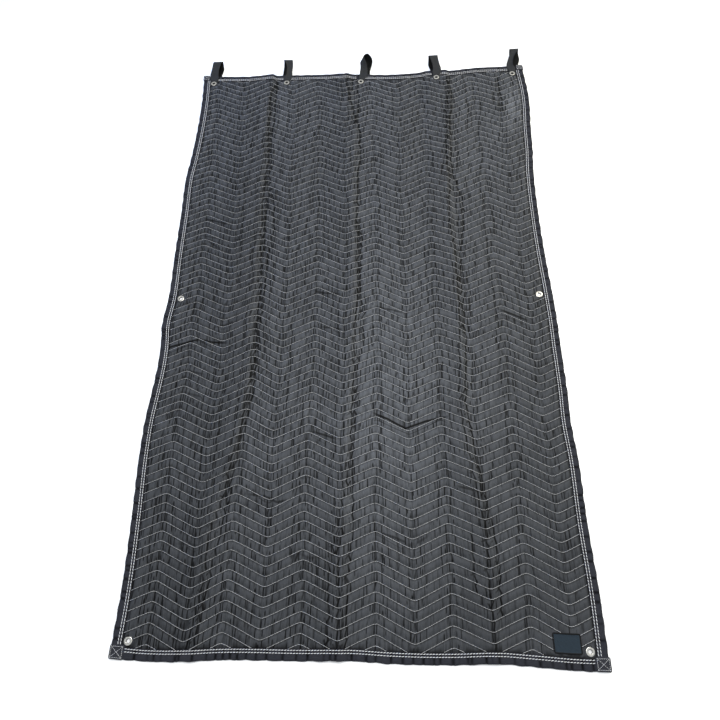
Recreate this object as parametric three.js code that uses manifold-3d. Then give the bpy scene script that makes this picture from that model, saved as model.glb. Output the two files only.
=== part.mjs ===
// Sound dampening blanket, laid out on a floor after unpacking: quilted cloth with bound edges, corner
// patches, webbing loops along the head edge, pressed eyelets and a sewn-on label.
// Millimetres, +Z up. X runs across the blanket and Y from its foot edge to its head edge.
import * as THREE from "three";
import { mergeVertices } from "three/addons/utils/BufferGeometryUtils.js";
import Module from "manifold-3d";

// Whole blanket
const WIDTH = 1220;
const LENGTH = 2032;
const GAP = 0.3;

// Zigzag quilting: rows a pitch apart, each swinging up and down once a wave
const QUILT = { pitch: 24.4, wave: 191.4, swing: 41, firstPeak: -518, firstRow: 12.5, valley: 4.8, crown: 8.4 };
const UNEVEN_CROWN = { height: 0.7, perRow: 2.1, perMillimetre: 0.037 };

// Every how many lines of quilting the plain underside has a line too
const UNDER_ROWS = 4;

// Folded tape round the edge, and the flattened cloth that it holds
const BINDING = { width: 27, tape: 1, fold: 4 };
const RIM = { low: 1.3, high: 4.3, slope: 15, clear: 12 };
const BINDING_TOP = RIM.high + GAP + BINDING.tape;

// Strips of cloth that hold the eyelets, measured in from where the straight edges would be
const BAND = { side: 65, head: 94, gap: 0.8 };

// Taller than anything on the blanket, for cutting shapes
const TALL = 60;

// Pressed eyelets, all at one distance in from the edges
const EYELET = { inset: 42, bore: 5, barrel: 6.2, flange: 10.5, plate: 1, edge: 0.5, sides: 12 };
const POCKET = { slack: 0.8, depth: RIM.high, spread: 8 };
const HEAD_PITCH = 284;
const SIDE_EYELET = 1026;

// Webbing loops through the head eyelets
const STRAP = { width: 38, end: 25, thick: 1.2, tail: 9.5, flat: 10.8, climb: 14, taper: 30, ease: 2.5 };
const LOOPS = [
  { name: "loop_1", reach: 64, open: 25, lean: 12, roll: 4, rise: 1 },
  { name: "loop_2", reach: 64, open: 25, lean: 4, roll: 13, rise: 4 },
  { name: "loop_3", reach: 62, open: 36, lean: 6, roll: -36, rise: 11 },
  { name: "loop_4", reach: 58, open: 25, lean: -9, roll: 9, rise: 3 },
  { name: "loop_5", reach: 66, open: 28, lean: 10, roll: -17, rise: 5 },
];

// A loop's bend past the edge, in shares of its reach and of its opening, and where its roll is complete
const LOOP_BEND = { rise: [0.35, 0.7], crest: [0.72, 1], tip: [1, 0.55], turn: [0.8, 0.06], back: 0.4 };
const LOOP_ROLLED = 0.75;
const LOOP_STEPS = 18;

// Corner patches and label
const PATCH = { thick: 1, foot: 34, head: 25 };
const LABEL = { width: 68, height: 46, thick: 1, corner: 5, centre: [518, 54], turn: -3, seat: 5.6 };

// The head edge lies on the loops' under legs, so the cloth climbs slightly towards it
const HEAD_LIFT = { from: 1360, to: 1870, height: 2.8 };

// How far the lying edges wander from straight ones
const SIDE_EDGES = [
  { at: 0, left: 2, right: 2 },
  { at: 170, left: 4, right: 4 },
  { at: 340, left: -2, right: 0 },
  { at: 510, left: -11, right: 1 },
  { at: 680, left: -10, right: -1 },
  { at: 850, left: -7, right: 0 },
  { at: 1020, left: -5, right: -2 },
  { at: 1190, left: -9, right: -8 },
  { at: 1360, left: -12, right: -9 },
  { at: 1530, left: -16, right: -4 },
  { at: 1700, left: -9, right: 4 },
  { at: 1870, left: -9, right: 14 },
  { at: 2032, left: -13, right: 8 },
];
const END_EDGES = [
  { at: -610, foot: -1, head: -5 },
  { at: -518, foot: -7, head: -11 },
  { at: -423, foot: -6, head: -15 },
  { at: -327, foot: -1, head: -16 },
  { at: -135, foot: 0, head: -19 },
  { at: 0, foot: 2, head: -25 },
  { at: 92, foot: -2, head: -32 },
  { at: 248, foot: -2, head: -27 },
  { at: 343, foot: 2, head: -22 },
  { at: 439, foot: -3, head: -12 },
  { at: 535, foot: -9, head: -11 },
  { at: 610, foot: -10, head: -9 },
];

// Packing creases along the length: the cloth climbs slowly to a crest and drops off to its right
const CREASE = { climb: 105, drop: 26 };
const CREASES = {
  left: [
    { at: 0, crest: -398, height: 4 },
    { at: 340, crest: -390, height: 6 },
    { at: 510, crest: -345, height: 8 },
    { at: 1020, crest: -335, height: 8 },
    { at: 1530, crest: -340, height: 7 },
    { at: 1870, crest: -353, height: 9 },
  ],
  middle: [
    { at: 0, crest: -38, height: 7 },
    { at: 510, crest: -28, height: 6 },
    { at: 1020, crest: -14, height: 7 },
    { at: 1530, crest: -16, height: 7 },
    { at: 1870, crest: -37, height: 8 },
  ],
  right: [
    { at: 0, crest: 342, height: 5 },
    { at: 340, crest: 338, height: 6 },
    { at: 510, crest: 316, height: 8 },
    { at: 1020, crest: 312, height: 8 },
    { at: 1870, crest: 308, height: 9 },
  ],
};
const CREASE_COLUMNS = [-372, -348, -12, 310];
const EYELET_LEVEL = { reach: 38, from: 1700 };

// Short cross folds, each pressed into one quilting channel
const CROSS_FOLDS = [
  { at: 862, from: -600, to: -390, drop: 3.6 },
  { at: 612, from: 39, to: 269, drop: 3.6 },
  { at: 973, from: 52, to: 160, drop: 2.6 },
  { at: 943, from: 429, to: 540, drop: 2.6 },
  { at: 1312, from: -535, to: -460, drop: 2.4 },
  { at: 1220, from: -520, to: -400, drop: 2.4 },
  { at: 565, from: -130, to: -36, drop: 2.2 },
  { at: 283, from: 56, to: 152, drop: 2.0 },
  { at: 276, from: -518, to: -398, drop: 2.0 },
  { at: 1430, from: 152, to: 248, drop: 2.2 },
];

const CLOTH = { color: 0x3d3e43, roughness: 0.85, metalness: 0 };
const TAPE = { color: 0x2c2d32, roughness: 0.85, metalness: 0 };
const WEBBING = { color: 0x3a3b3c, roughness: 0.75, metalness: 0 };
const NICKEL = { color: 0xd8d5cc, roughness: 0.25, metalness: 1 };
const SLATE = { color: 0x3f4a57, roughness: 0.7, metalness: 0 };

const wasm = await Module();
wasm.setup();

// Solids

// Faces turned the other way round where a mirrored or swept shape came out inside out
function outward(geometry) {
  const index = geometry.index.array;
  const at = geometry.attributes.position;
  const corner = [0, 1, 2].map(() => new THREE.Vector3());
  let volume = 0;
  for (let i = 0; i < index.length; i += 3) {
    corner.forEach((c, k) => c.fromBufferAttribute(at, index[i + k]));
    volume += corner[0].dot(corner[1].clone().cross(corner[2]));
  }
  if (volume < 0) {
    geometry.setIndex(Array.from(index).reverse());
  }
  return geometry;
}

// Shapes with normals still have split corners, which are joined first
function manifoldOf(geometry) {
  let shared = geometry;
  if (geometry.attributes.normal) {
    const bare = geometry.clone();
    bare.deleteAttribute("normal");
    bare.deleteAttribute("uv");
    shared = mergeVertices(bare);
  }
  outward(shared);
  return new wasm.Manifold(new wasm.Mesh({
    numProp: 3,
    vertProperties: new Float32Array(shared.attributes.position.array),
    triVerts: new Uint32Array(shared.index.array),
  }));
}

function geometryOf(solid) {
  const mesh = solid.getMesh();
  const geometry = new THREE.BufferGeometry();
  geometry.setAttribute("position", new THREE.BufferAttribute(new Float32Array(mesh.vertProperties), 3));
  geometry.setIndex(new THREE.BufferAttribute(new Uint32Array(mesh.triVerts), 1));
  return geometry;
}

function box(low, high) {
  const geometry = new THREE.BoxGeometry(high[0] - low[0], high[1] - low[1], high[2] - low[2]);
  geometry.translate((low[0] + high[0]) / 2, (low[1] + high[1]) / 2, (low[2] + high[2]) / 2);
  return geometry;
}

function geometryFrom(points, triangles) {
  const geometry = new THREE.BufferGeometry();
  geometry.setAttribute("position", new THREE.Float32BufferAttribute(points.flat(), 3));
  geometry.setIndex(triangles.flat());
  return geometry;
}

// Closed loft through rings of equally many points, each ring running counter-clockwise seen from its end.
// A thin strap's rings run over one face and back under the other, and both faces are split the same way.
function loft(rings, thin = false) {
  const count = rings[0].length;
  const points = rings.flat();
  const triangles = [];
  for (let ring = 0; ring + 1 < rings.length; ring += 1) {
    for (let i = 0; i < count; i += 1) {
      const a = ring * count + i;
      const b = ring * count + (i + 1) % count;
      if (thin && i >= count / 2) {
        triangles.push([a, b, a + count], [b, b + count, a + count]);
      } else {
        triangles.push([a, b, b + count], [a, b + count, a + count]);
      }
    }
  }
  const last = (rings.length - 1) * count;
  const face = rings[0].map((point) => new THREE.Vector2(...flatten(rings[0], point)));
  for (const [a, b, c] of THREE.ShapeUtils.triangulateShape(face, [])) {
    triangles.push([c, b, a], [last + a, last + b, last + c]);
  }
  return geometryFrom(points, triangles);
}

// A ring's point in the ring's own plane
function flatten(ring, point) {
  const [origin, next] = ring.map((p) => new THREE.Vector3(...p));
  const across = next.clone().sub(origin).normalize();
  const normal = new THREE.Vector3();
  ring.forEach((p, i) => {
    const q = ring[(i + 1) % ring.length];
    normal.add(new THREE.Vector3(...p).cross(new THREE.Vector3(...q)));
  });
  const up = normal.normalize().cross(across);
  const arm = new THREE.Vector3(...point).sub(origin);
  return [arm.dot(across), arm.dot(up)];
}

// Lay of the cloth: flat cloth at (u, v) with height w above its underside goes to its place on the floor

function between(rows, column, at) {
  const next = rows.findIndex((row) => row.at >= at);
  if (next === 0) {
    return rows[0][column];
  }
  if (next < 0) {
    return rows[rows.length - 1][column];
  }
  const [a, b] = [rows[next - 1], rows[next]];
  return THREE.MathUtils.lerp(a[column], b[column], (at - a.at) / (b.at - a.at));
}

const HALF_WAVES = Math.floor((WIDTH / 2 - BAND.side - QUILT.firstPeak) / (QUILT.wave / 2));
const KINKS = Array.from({ length: HALF_WAVES + 1 }, (_, i) => QUILT.firstPeak + i * QUILT.wave / 2);
const PART_LINE = WIDTH / 2 - BAND.side;
const RIM_COLUMNS = [WIDTH / 2 - BINDING.fold, WIDTH / 2 - BINDING.width - GAP];
const FIELD_COLUMNS = [-PART_LINE, ...KINKS, ...CREASE_COLUMNS, PART_LINE].sort((a, b) => a - b);
const COLUMNS = [...RIM_COLUMNS.map((u) => -u), ...FIELD_COLUMNS, ...RIM_COLUMNS.toReversed()];
const STATIONS = SIDE_EDGES.map((row) => row.at);
const HEAD_EYELETS = LOOPS.map((_, i) => (i - (LOOPS.length - 1) / 2) * HEAD_PITCH);

function creaseLift(u, v) {
  return Object.values(CREASES).reduce((sum, rows) => {
    const from = u - between(rows, "crest", v);
    const share = from < 0 ? 1 + from / CREASE.climb : 1 - from / CREASE.drop;
    return sum + between(rows, "height", v) * Math.max(0, share);
  }, 0);
}

function freeLift(u, v) {
  const eyelet = HEAD_EYELETS.find((at) => Math.abs(u - at) < EYELET_LEVEL.reach);
  const level = eyelet !== undefined && v > EYELET_LEVEL.from;
  const climb = THREE.MathUtils.mapLinear(v, HEAD_LIFT.from, HEAD_LIFT.to, 0, HEAD_LIFT.height);
  return creaseLift(level ? eyelet : u, v) + THREE.MathUtils.clamp(climb, 0, HEAD_LIFT.height);
}

const LIFTS = STATIONS.map((at) => {
  const row = { at };
  COLUMNS.forEach((u, j) => {
    row[j] = freeLift(u, at);
  });
  return row;
});
const ENDS = COLUMNS.map((u) => ({
  at: u,
  foot: between(END_EDGES, "foot", u),
  head: between(END_EDGES, "head", u),
}));

function lift(u, v) {
  const right = THREE.MathUtils.clamp(COLUMNS.findIndex((at) => at >= u), 1, COLUMNS.length - 1);
  const share = (u - COLUMNS[right - 1]) / (COLUMNS[right] - COLUMNS[right - 1]);
  return THREE.MathUtils.lerp(between(LIFTS, right - 1, v), between(LIFTS, right, v), share);
}

function place(u, v, w) {
  const across = u / WIDTH + 0.5;
  const along = v / LENGTH;
  const x = u + THREE.MathUtils.lerp(between(SIDE_EDGES, "left", v), between(SIDE_EDGES, "right", v), across);
  const y = v + THREE.MathUtils.lerp(between(ENDS, "foot", u), between(ENDS, "head", u), along);
  return [x, y, lift(u, v) + w];
}

function laid(geometry) {
  const position = geometry.attributes.position;
  for (let i = 0; i < position.count; i += 1) {
    position.setXYZ(i, ...place(position.getX(i), position.getY(i), position.getZ(i)));
  }
  return geometry;
}

// Quilted cloth

function swing(u) {
  const phase = THREE.MathUtils.euclideanModulo((u - QUILT.firstPeak) / QUILT.wave, 1);
  return QUILT.swing * (Math.abs(phase - 0.5) * 2 - 0.5);
}

function rowAt(row, u) {
  return QUILT.firstRow + row * QUILT.pitch / 2 + swing(u);
}

function crossFold(u, row) {
  const middle = QUILT.firstRow + row * QUILT.pitch / 2;
  const fold = CROSS_FOLDS.find((f) => Math.abs(middle - f.at) < QUILT.pitch / 2 && u >= f.from && u <= f.to);
  return fold ? fold.drop : 0;
}

function padding(u, row) {
  if (row % 2 === 0) {
    return QUILT.valley;
  }
  const { height, perRow, perMillimetre } = UNEVEN_CROWN;
  return QUILT.crown + height * Math.sin(row * perRow + u * perMillimetre) - crossFold(u, row);
}

// Lines across the cloth from foot to head: the pressed rim, the quilting, and the rim again
const RIM_LINES = [BINDING.fold, BINDING.width + GAP, BINDING.width + GAP + RIM.slope];
const [, , FIRST_LINE] = RIM_LINES;
const LAST_LINE = LENGTH - FIRST_LINE;
const ROWS = Math.ceil((LENGTH + QUILT.swing) / (QUILT.pitch / 2));

function clothLines() {
  const foot = RIM_LINES.map((v) => ({ v, rim: v < FIRST_LINE, under: true }));
  const head = RIM_LINES.toReversed().map((v) => ({ v: LENGTH - v, rim: v < FIRST_LINE, under: true }));
  const quilting = Array.from({ length: ROWS }, (_, row) => ({ row, under: row % UNDER_ROWS === 0 }));
  return [...foot, ...quilting, ...head];
}

// A point on the cloth's face or underside, where a line crosses a column
function clothPoint(line, u, face) {
  const v = line.v ?? THREE.MathUtils.clamp(rowAt(line.row, u), FIRST_LINE, LAST_LINE);
  if (line.rim || Math.abs(u) >= RIM_COLUMNS[1]) {
    return [u, v, face ? RIM.high : RIM.low];
  }
  const quilted = v > FIRST_LINE && v < LAST_LINE;
  const thick = quilted ? padding(u, line.row) : QUILT.valley;
  return [u, v, face ? thick : 0];
}

// Closed sheet of quilted cloth between the given columns, with fewer lines on its underside
function quiltedSheet(columns) {
  const points = [];
  const known = new Map();
  const vertex = (point) => {
    const key = point.map((c) => c.toFixed(3)).join(" ");
    if (!known.has(key)) {
      known.set(key, points.length);
      points.push(point);
    }
    return known.get(key);
  };
  const lines = clothLines();
  const tops = lines.map((line) => columns.map((u) => vertex(clothPoint(line, u, true))));
  const lows = lines.map((line) => line.under && columns.map((u) => vertex(clothPoint(line, u, false))));
  const unders = lines.map((_, i) => i).filter((i) => lows[i]);
  const triangles = [];
  const add = (a, b, c) => {
    if (a !== b && b !== c && c !== a) {
      triangles.push([a, b, c]);
    }
  };
  const end = columns.length - 1;
  for (let i = 0; i + 1 < lines.length; i += 1) {
    const low = lows[unders.findLast((at) => at <= i)];
    for (let j = 0; j < end; j += 1) {
      add(tops[i][j], tops[i][j + 1], tops[i + 1][j + 1]);
      add(tops[i][j], tops[i + 1][j + 1], tops[i + 1][j]);
    }
    add(low[0], tops[i][0], tops[i + 1][0]);
    add(low[end], tops[i + 1][end], tops[i][end]);
  }
  for (let k = 0; k + 1 < unders.length; k += 1) {
    const [low, next, top] = [lows[unders[k]], lows[unders[k + 1]], tops[unders[k + 1]]];
    for (let j = 0; j < end; j += 1) {
      add(low[j], next[j + 1], low[j + 1]);
      add(low[j], next[j], next[j + 1]);
    }
    add(low[0], top[0], next[0]);
    add(low[end], next[end], top[end]);
  }
  const [foot, footLow, head, headLow] = [tops[0], lows[0], tops.at(-1), lows.at(-1)];
  for (let j = 0; j < end; j += 1) {
    add(footLow[j], footLow[j + 1], foot[j + 1]);
    add(footLow[j], foot[j + 1], foot[j]);
    add(headLow[j], head[j], head[j + 1]);
    add(headLow[j], head[j + 1], headLow[j + 1]);
  }
  return geometryFrom(points, triangles);
}

// Hollow that an eyelet presses into the padding, as a solid to cut away
function eyeletPocket([x, y, base], below) {
  const hole = EYELET.barrel + POCKET.slack;
  const seat = EYELET.flange + POCKET.slack;
  const low = below ? RIM.low : GAP;
  const outline = [
    [0, -TALL],
    [below ? seat : hole, -TALL],
    [below ? seat : hole, low],
    [hole, low],
    [hole, POCKET.depth],
    [seat, POCKET.depth],
    [seat + POCKET.spread, RIM.clear],
    [0, RIM.clear],
  ];
  return turned(outline, [x, y, base]);
}

// Solid of revolution about an upright axis
function turned(outline, centre) {
  const geometry = new THREE.LatheGeometry(outline.map((p) => new THREE.Vector2(...p)), EYELET.sides);
  geometry.rotateX(Math.PI / 2);
  return geometry.translate(...centre);
}

// Flat seat for a webbing end, from past the head edge to just inside its eyelet
function strapSeat([x, y, base]) {
  const half = STRAP.width / 2 + POCKET.slack;
  const tail = STRAP.tail + POCKET.slack;
  return box([x - half, y - tail, base + POCKET.depth], [x + half, y + 2 * EYELET.inset, base + TALL]);
}

// The label's outline on its seat, grown by a margin
function labelPlate(margin, thick) {
  const { width, height, corner, centre, turn, seat } = LABEL;
  const right = width / 2 - corner;
  const top = height / 2 - corner;
  const radius = corner + margin;
  const outline = new THREE.Shape();
  outline.absarc(right, -top, radius, -Math.PI / 2, 0);
  outline.absarc(right, top, radius, 0, Math.PI / 2);
  outline.absarc(-right, top, radius, Math.PI / 2, Math.PI);
  outline.absarc(-right, -top, radius, Math.PI, 1.5 * Math.PI);
  const plate = new THREE.ExtrudeGeometry(outline, { depth: thick, bevelEnabled: false, curveSegments: 3 });
  plate.rotateZ(THREE.MathUtils.degToRad(turn));
  return plate.translate(...place(...centre, seat));
}

const SIDE = WIDTH / 2 - EYELET.inset;
const PLAIN_EYELETS = [
  { name: "eyelet_side_left", u: -SIDE, v: SIDE_EYELET },
  { name: "eyelet_side_right", u: SIDE, v: SIDE_EYELET },
  { name: "eyelet_foot_left", u: -SIDE, v: EYELET.inset },
  { name: "eyelet_foot_right", u: SIDE, v: EYELET.inset },
];

// The laid cloth, parted into its field and the three strips that hold the eyelets
function quiltedPieces() {
  const strip = [...RIM_COLUMNS, PART_LINE + BAND.gap];
  const head = LENGTH - BAND.head;
  const far = 2 * LENGTH;
  const below = box([-far, -far, -TALL], [far, head, TALL]);
  const above = box([-far, head + GAP, -TALL], [far, far, TALL]);
  const seat = labelPlate(POCKET.slack, TALL);
  const pieces = [
    { name: "quilted_field", columns: FIELD_COLUMNS, zone: below, cuts: [seat] },
    { name: "band_left", columns: strip.map((u) => -u), zone: below, cuts: [] },
    { name: "band_right", columns: strip.toReversed(), zone: below, cuts: [seat] },
    { name: "band_head", columns: COLUMNS, zone: above, cuts: [] },
  ];
  const [, left, right, top] = pieces;
  for (const u of HEAD_EYELETS) {
    const centre = place(u, LENGTH - EYELET.inset, 0);
    top.cuts.push(strapSeat(centre), eyeletPocket(centre, false));
  }
  for (const { u, v } of PLAIN_EYELETS) {
    (u < 0 ? left : right).cuts.push(eyeletPocket(place(u, v, 0), true));
  }
  return pieces.map(({ name, columns, zone, cuts }) => {
    let piece = manifoldOf(laid(quiltedSheet(columns))).intersect(manifoldOf(zone));
    for (const cut of cuts) {
      piece = piece.subtract(manifoldOf(cut));
    }
    return solid(name, geometryOf(piece), CLOTH);
  });
}

// Binding

// The tape's folded section, as (distance in from the edge, height)
const TAPE_SECTION = [
  [0, 0],
  [BINDING.width, 0],
  [BINDING.width, BINDING.tape],
  [BINDING.tape, BINDING.tape],
  [BINDING.tape, BINDING_TOP - BINDING.tape],
  [BINDING.width, BINDING_TOP - BINDING.tape],
  [BINDING.width, BINDING_TOP],
  [0, BINDING_TOP],
];

function bindings() {
  const inner = WIDTH / 2 - BINDING.width - GAP;
  const across = [-inner, ...COLUMNS.filter((u) => Math.abs(u) < inner), inner];
  const strips = {
    binding_foot: across.map((u) => TAPE_SECTION.map(([inset, w]) => [u, inset, w])),
    binding_head: across.toReversed().map((u) => TAPE_SECTION.map(([inset, w]) => [u, LENGTH - inset, w])),
    binding_left: STATIONS.toReversed().map((v) => TAPE_SECTION.map(([inset, w]) => [inset - WIDTH / 2, v, w])),
    binding_right: STATIONS.map((v) => TAPE_SECTION.map(([inset, w]) => [WIDTH / 2 - inset, v, w])),
  };
  return Object.entries(strips).map(([name, rings]) => solid(name, laid(loft(rings)), TAPE));
}

// Corner patches: a small square of tape on each corner, turned down over both edges

function cornerPatches() {
  const low = BINDING_TOP + GAP;
  const top = low + PATCH.thick;
  const out = GAP + PATCH.thick;
  const corners = [
    { name: "corner_foot_left", side: -1, end: 0, size: PATCH.foot },
    { name: "corner_foot_right", side: 1, end: 0, size: PATCH.foot },
    { name: "corner_head_left", side: -1, end: 1, size: PATCH.head },
    { name: "corner_head_right", side: 1, end: 1, size: PATCH.head },
  ];
  return corners.map(({ name, side, end, size }) => {
    const leaf = box([-out, -out, low], [size, size, top]);
    const sideTurn = box([-out, -out, 0], [-GAP, size, top]);
    const endTurn = box([-out, -out, 0], [size, -GAP, top]);
    const cap = manifoldOf(leaf).add(manifoldOf(sideTurn)).add(manifoldOf(endTurn));
    const geometry = geometryOf(cap);
    const position = geometry.attributes.position;
    for (let i = 0; i < position.count; i += 1) {
      const u = side * (WIDTH / 2 - position.getX(i));
      const v = end === 0 ? position.getY(i) : LENGTH - position.getY(i);
      position.setXYZ(i, u, v, position.getZ(i));
    }
    return solid(name, laid(geometry), TAPE);
  });
}

// Eyelets

function eyelet(name, seat, height) {
  const { bore, barrel, flange, plate, edge } = EYELET;
  const outline = [
    [bore, 0],
    [flange - edge, 0],
    [flange, plate],
    [barrel, plate],
    [barrel, height - plate],
    [flange, height - plate],
    [flange - edge, height - edge],
    [bore + 2 * edge, height],
    [bore, height - edge],
    [bore, 0],
  ];
  return solid(name, geometryOf(manifoldOf(turned(outline, seat))), NICKEL);
}

const UNDER_LEG = -GAP - STRAP.thick / 2;
const OVER_LEG = POCKET.depth + GAP + STRAP.thick / 2;
const LOOP_EYELET = {
  low: UNDER_LEG - STRAP.thick / 2 - GAP - EYELET.plate,
  high: OVER_LEG + STRAP.thick / 2 + GAP + EYELET.plate,
};

function eyelets() {
  const height = POCKET.depth + GAP + EYELET.plate;
  const plain = PLAIN_EYELETS.map(({ name, u, v }) => eyelet(name, place(u, v, 0), height));
  const looped = HEAD_EYELETS.map((u, i) => {
    const seat = place(u, LENGTH - EYELET.inset, LOOP_EYELET.low);
    return eyelet(`eyelet_head_${i + 1}`, seat, LOOP_EYELET.high - LOOP_EYELET.low);
  });
  return [...plain, ...looped];
}

// Webbing loops: one strap each, from its eyelet over the edge, round and back under the edge

// The strap's middle line as (distance out from the eyelet, height above the floor)
function strapLine({ reach, open }, base) {
  const edge = EYELET.inset;
  const over = base + BINDING_TOP + PATCH.thick + 2 * GAP + STRAP.thick / 2;
  const under = base + UNDER_LEG;
  const floor = GAP + STRAP.thick;
  const at = ([out, up]) => [edge + out * reach, floor + up * open];
  const [riseOut, riseUp] = at(LOOP_BEND.rise);
  const bend = new THREE.CatmullRomCurve3([
    [edge - STRAP.ease, over],
    [riseOut, Math.max(over + STRAP.ease, riseUp)],
    at(LOOP_BEND.crest),
    at(LOOP_BEND.tip),
    at(LOOP_BEND.turn),
    [edge + LOOP_BEND.back * reach, Math.min(floor, under)],
    [edge + STRAP.ease, under],
  ].map(([out, z]) => new THREE.Vector3(0, out, z)));
  const seat = base + OVER_LEG;
  const line = [[-STRAP.tail, seat], [STRAP.flat, seat], [STRAP.climb, over]];
  bend.getSpacedPoints(LOOP_STEPS).forEach((p) => line.push([p.y, p.z]));
  line.push([-STRAP.tail, under]);
  return line;
}

function strap(row, [x, y], base) {
  const line = strapLine(row, base);
  const edge = EYELET.inset;
  const axis = GAP + STRAP.thick + row.open / 2;
  const rings = line.map(([out, z], i) => {
    const before = line[Math.max(0, i - 1)];
    const after = line[Math.min(line.length - 1, i + 1)];
    const run = new THREE.Vector2(after[0] - before[0], after[1] - before[1]).normalize();
    const full = THREE.MathUtils.smoothstep(out, EYELET.flange, STRAP.taper);
    const half = THREE.MathUtils.lerp(STRAP.end, STRAP.width, full) / 2;
    const free = THREE.MathUtils.smoothstep(out, edge, edge + LOOP_ROLLED * row.reach);
    const turn = THREE.MathUtils.degToRad(row.roll) * free;
    return [[1, 1], [-1, 1], [-1, -1], [1, -1]].map(([side, face]) => {
      const across = side * half;
      const up = z + face * run.x * STRAP.thick / 2 - axis;
      const far = out - face * run.y * STRAP.thick / 2;
      return [
        x + across * Math.cos(turn) + up * Math.sin(turn) + row.lean * free,
        y + far,
        axis + row.rise * free + up * Math.cos(turn) - across * Math.sin(turn),
      ];
    });
  });
  return loft(rings, true);
}

function loops() {
  return LOOPS.map((row, i) => {
    const [x, y, base] = place(HEAD_EYELETS[i], LENGTH - EYELET.inset, 0);
    const radius = EYELET.barrel + POCKET.slack;
    const hole = new THREE.CylinderGeometry(radius, radius, 2 * TALL, EYELET.sides);
    hole.rotateX(Math.PI / 2);
    hole.translate(x, y, 0);
    const pierced = manifoldOf(strap(row, [x, y], base)).subtract(manifoldOf(hole));
    return solid(row.name, geometryOf(pierced), WEBBING);
  });
}

// Label: a bare sewn-on cloth tag with round corners

function label() {
  const plate = labelPlate(0, LABEL.thick).translate(0, 0, GAP);
  return solid("label", geometryOf(manifoldOf(plate)), SLATE);
}

function solid(name, geometry, finish) {
  const material = new THREE.MeshStandardMaterial({ ...finish, flatShading: true });
  const mesh = new THREE.Mesh(outward(geometry), material);
  mesh.name = name;
  return mesh;
}

const blanket = new THREE.Group();
blanket.add(...quiltedPieces(), ...bindings(), ...cornerPatches(), ...eyelets(), ...loops(), label());

// The origin is on the floor under the middle of the whole blanket
const extent = new THREE.Box3().setFromObject(blanket, true);
const middle = extent.getCenter(new THREE.Vector3());
blanket.position.set(-middle.x, -middle.y, 0);

export default blanket;
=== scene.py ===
"""Sound dampening blanket, laid out face up on a pale floor.

The quilted cloth, its binding and its sewing are worked out on the flat cloth: u across from the middle line, v from
the foot edge to the head edge and w up from the underside. lay() takes such points to their place on the floor.
"""
import math
from functools import partial

import bmesh
import bpy
import numpy as np
from bpy.props import FloatProperty, FloatVectorProperty, IntProperty, PointerProperty
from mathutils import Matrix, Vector


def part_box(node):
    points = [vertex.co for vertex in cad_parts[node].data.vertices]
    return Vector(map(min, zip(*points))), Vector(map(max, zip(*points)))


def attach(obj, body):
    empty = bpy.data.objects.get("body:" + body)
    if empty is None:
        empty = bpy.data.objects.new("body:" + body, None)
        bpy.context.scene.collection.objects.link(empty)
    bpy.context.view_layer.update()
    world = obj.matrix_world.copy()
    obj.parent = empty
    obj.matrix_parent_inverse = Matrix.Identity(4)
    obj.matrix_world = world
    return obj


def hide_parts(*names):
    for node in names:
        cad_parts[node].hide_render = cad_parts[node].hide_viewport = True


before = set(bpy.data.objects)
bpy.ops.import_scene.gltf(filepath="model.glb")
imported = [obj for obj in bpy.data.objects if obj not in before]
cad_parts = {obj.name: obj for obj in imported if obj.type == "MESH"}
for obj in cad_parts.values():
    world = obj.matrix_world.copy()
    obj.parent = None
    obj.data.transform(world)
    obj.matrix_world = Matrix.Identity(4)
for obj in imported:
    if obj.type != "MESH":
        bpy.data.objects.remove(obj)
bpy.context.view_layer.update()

bl_info = {
    "name": "Sound dampening blanket",
    "version": (1, 0, 0),
    "blender": (4, 5, 0),
    "location": "3D View > Sidebar > Blanket",
    "description": "Dresses a quilted sound dampening blanket with its cloth, sewing and fittings",
    "category": "Object",
}

MM = 0.001


def table(columns, *rows):
    """Rows of values under the names of their columns."""
    return [dict(zip(columns.split(), row)) for row in rows]


# Lay of the cloth, in millimetres

# How far the lying edges wander from straight ones
SIDE_EDGES = table(
    "at left right",
    (0, 2, 2), (170, 4, 4), (340, -2, 0), (510, -11, 1), (614, -12, -4), (708, -6, -1), (800, -2, -1), (860, -4, -1),
    (925, -11, 0), (1020, -5, -2), (1190, -9, -8), (1360, -12, -9), (1530, -16, -4), (1610, -10, 3), (1700, -6, 7),
    (1870, -5, 17), (2032, -13, 8))
END_EDGES = table(
    "at foot head",
    (-610, -1, -5), (-518, -7, -11), (-423, -6, -15), (-327, -1, -16), (-135, 0, -19), (0, 2, -25), (92, -2, -32),
    (248, -2, -27), (343, 2, -22), (439, -3, -12), (535, -9, -11), (610, -10, -9))

# Packing creases along the length: a slow climb to a crest and a drop to its right
CREASE = {"climb": 105, "drop": 26, "bow": 1.4}
CREASES = {
    "left": table(
        "at crest height",
        (0, -398, 4), (340, -390, 6), (510, -345, 8), (1020, -335, 8), (1530, -340, 7), (1870, -353, 9),
        (2032, -338, 9)),
    "middle": table(
        "at crest height",
        (0, -38, 7), (510, -28, 6), (1020, -14, 7), (1530, -16, 7), (1870, -37, 8)),
    "right": table(
        "at crest height",
        (0, 342, 5), (340, 338, 6), (510, 316, 8), (1020, 312, 8), (1870, 308, 9)),
}
HEAD_LIFT = {"from": 1360, "to": 1870, "height": 2.8}
HEAD_LEVEL = {"from": 1700, "to": 1870, "reach": 30, "blend": 56}

# Broad soft waves of the lying cloth, which die out towards its edges
SOFT_WAVES = table(
    "across along height phase",
    (430, 900, 1.6, 0.4), (-260, 520, 1.2, 2.1), (170, -1300, 0.9, 4.0))
WAVE_EDGE = {"from": 80, "to": 220}

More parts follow.
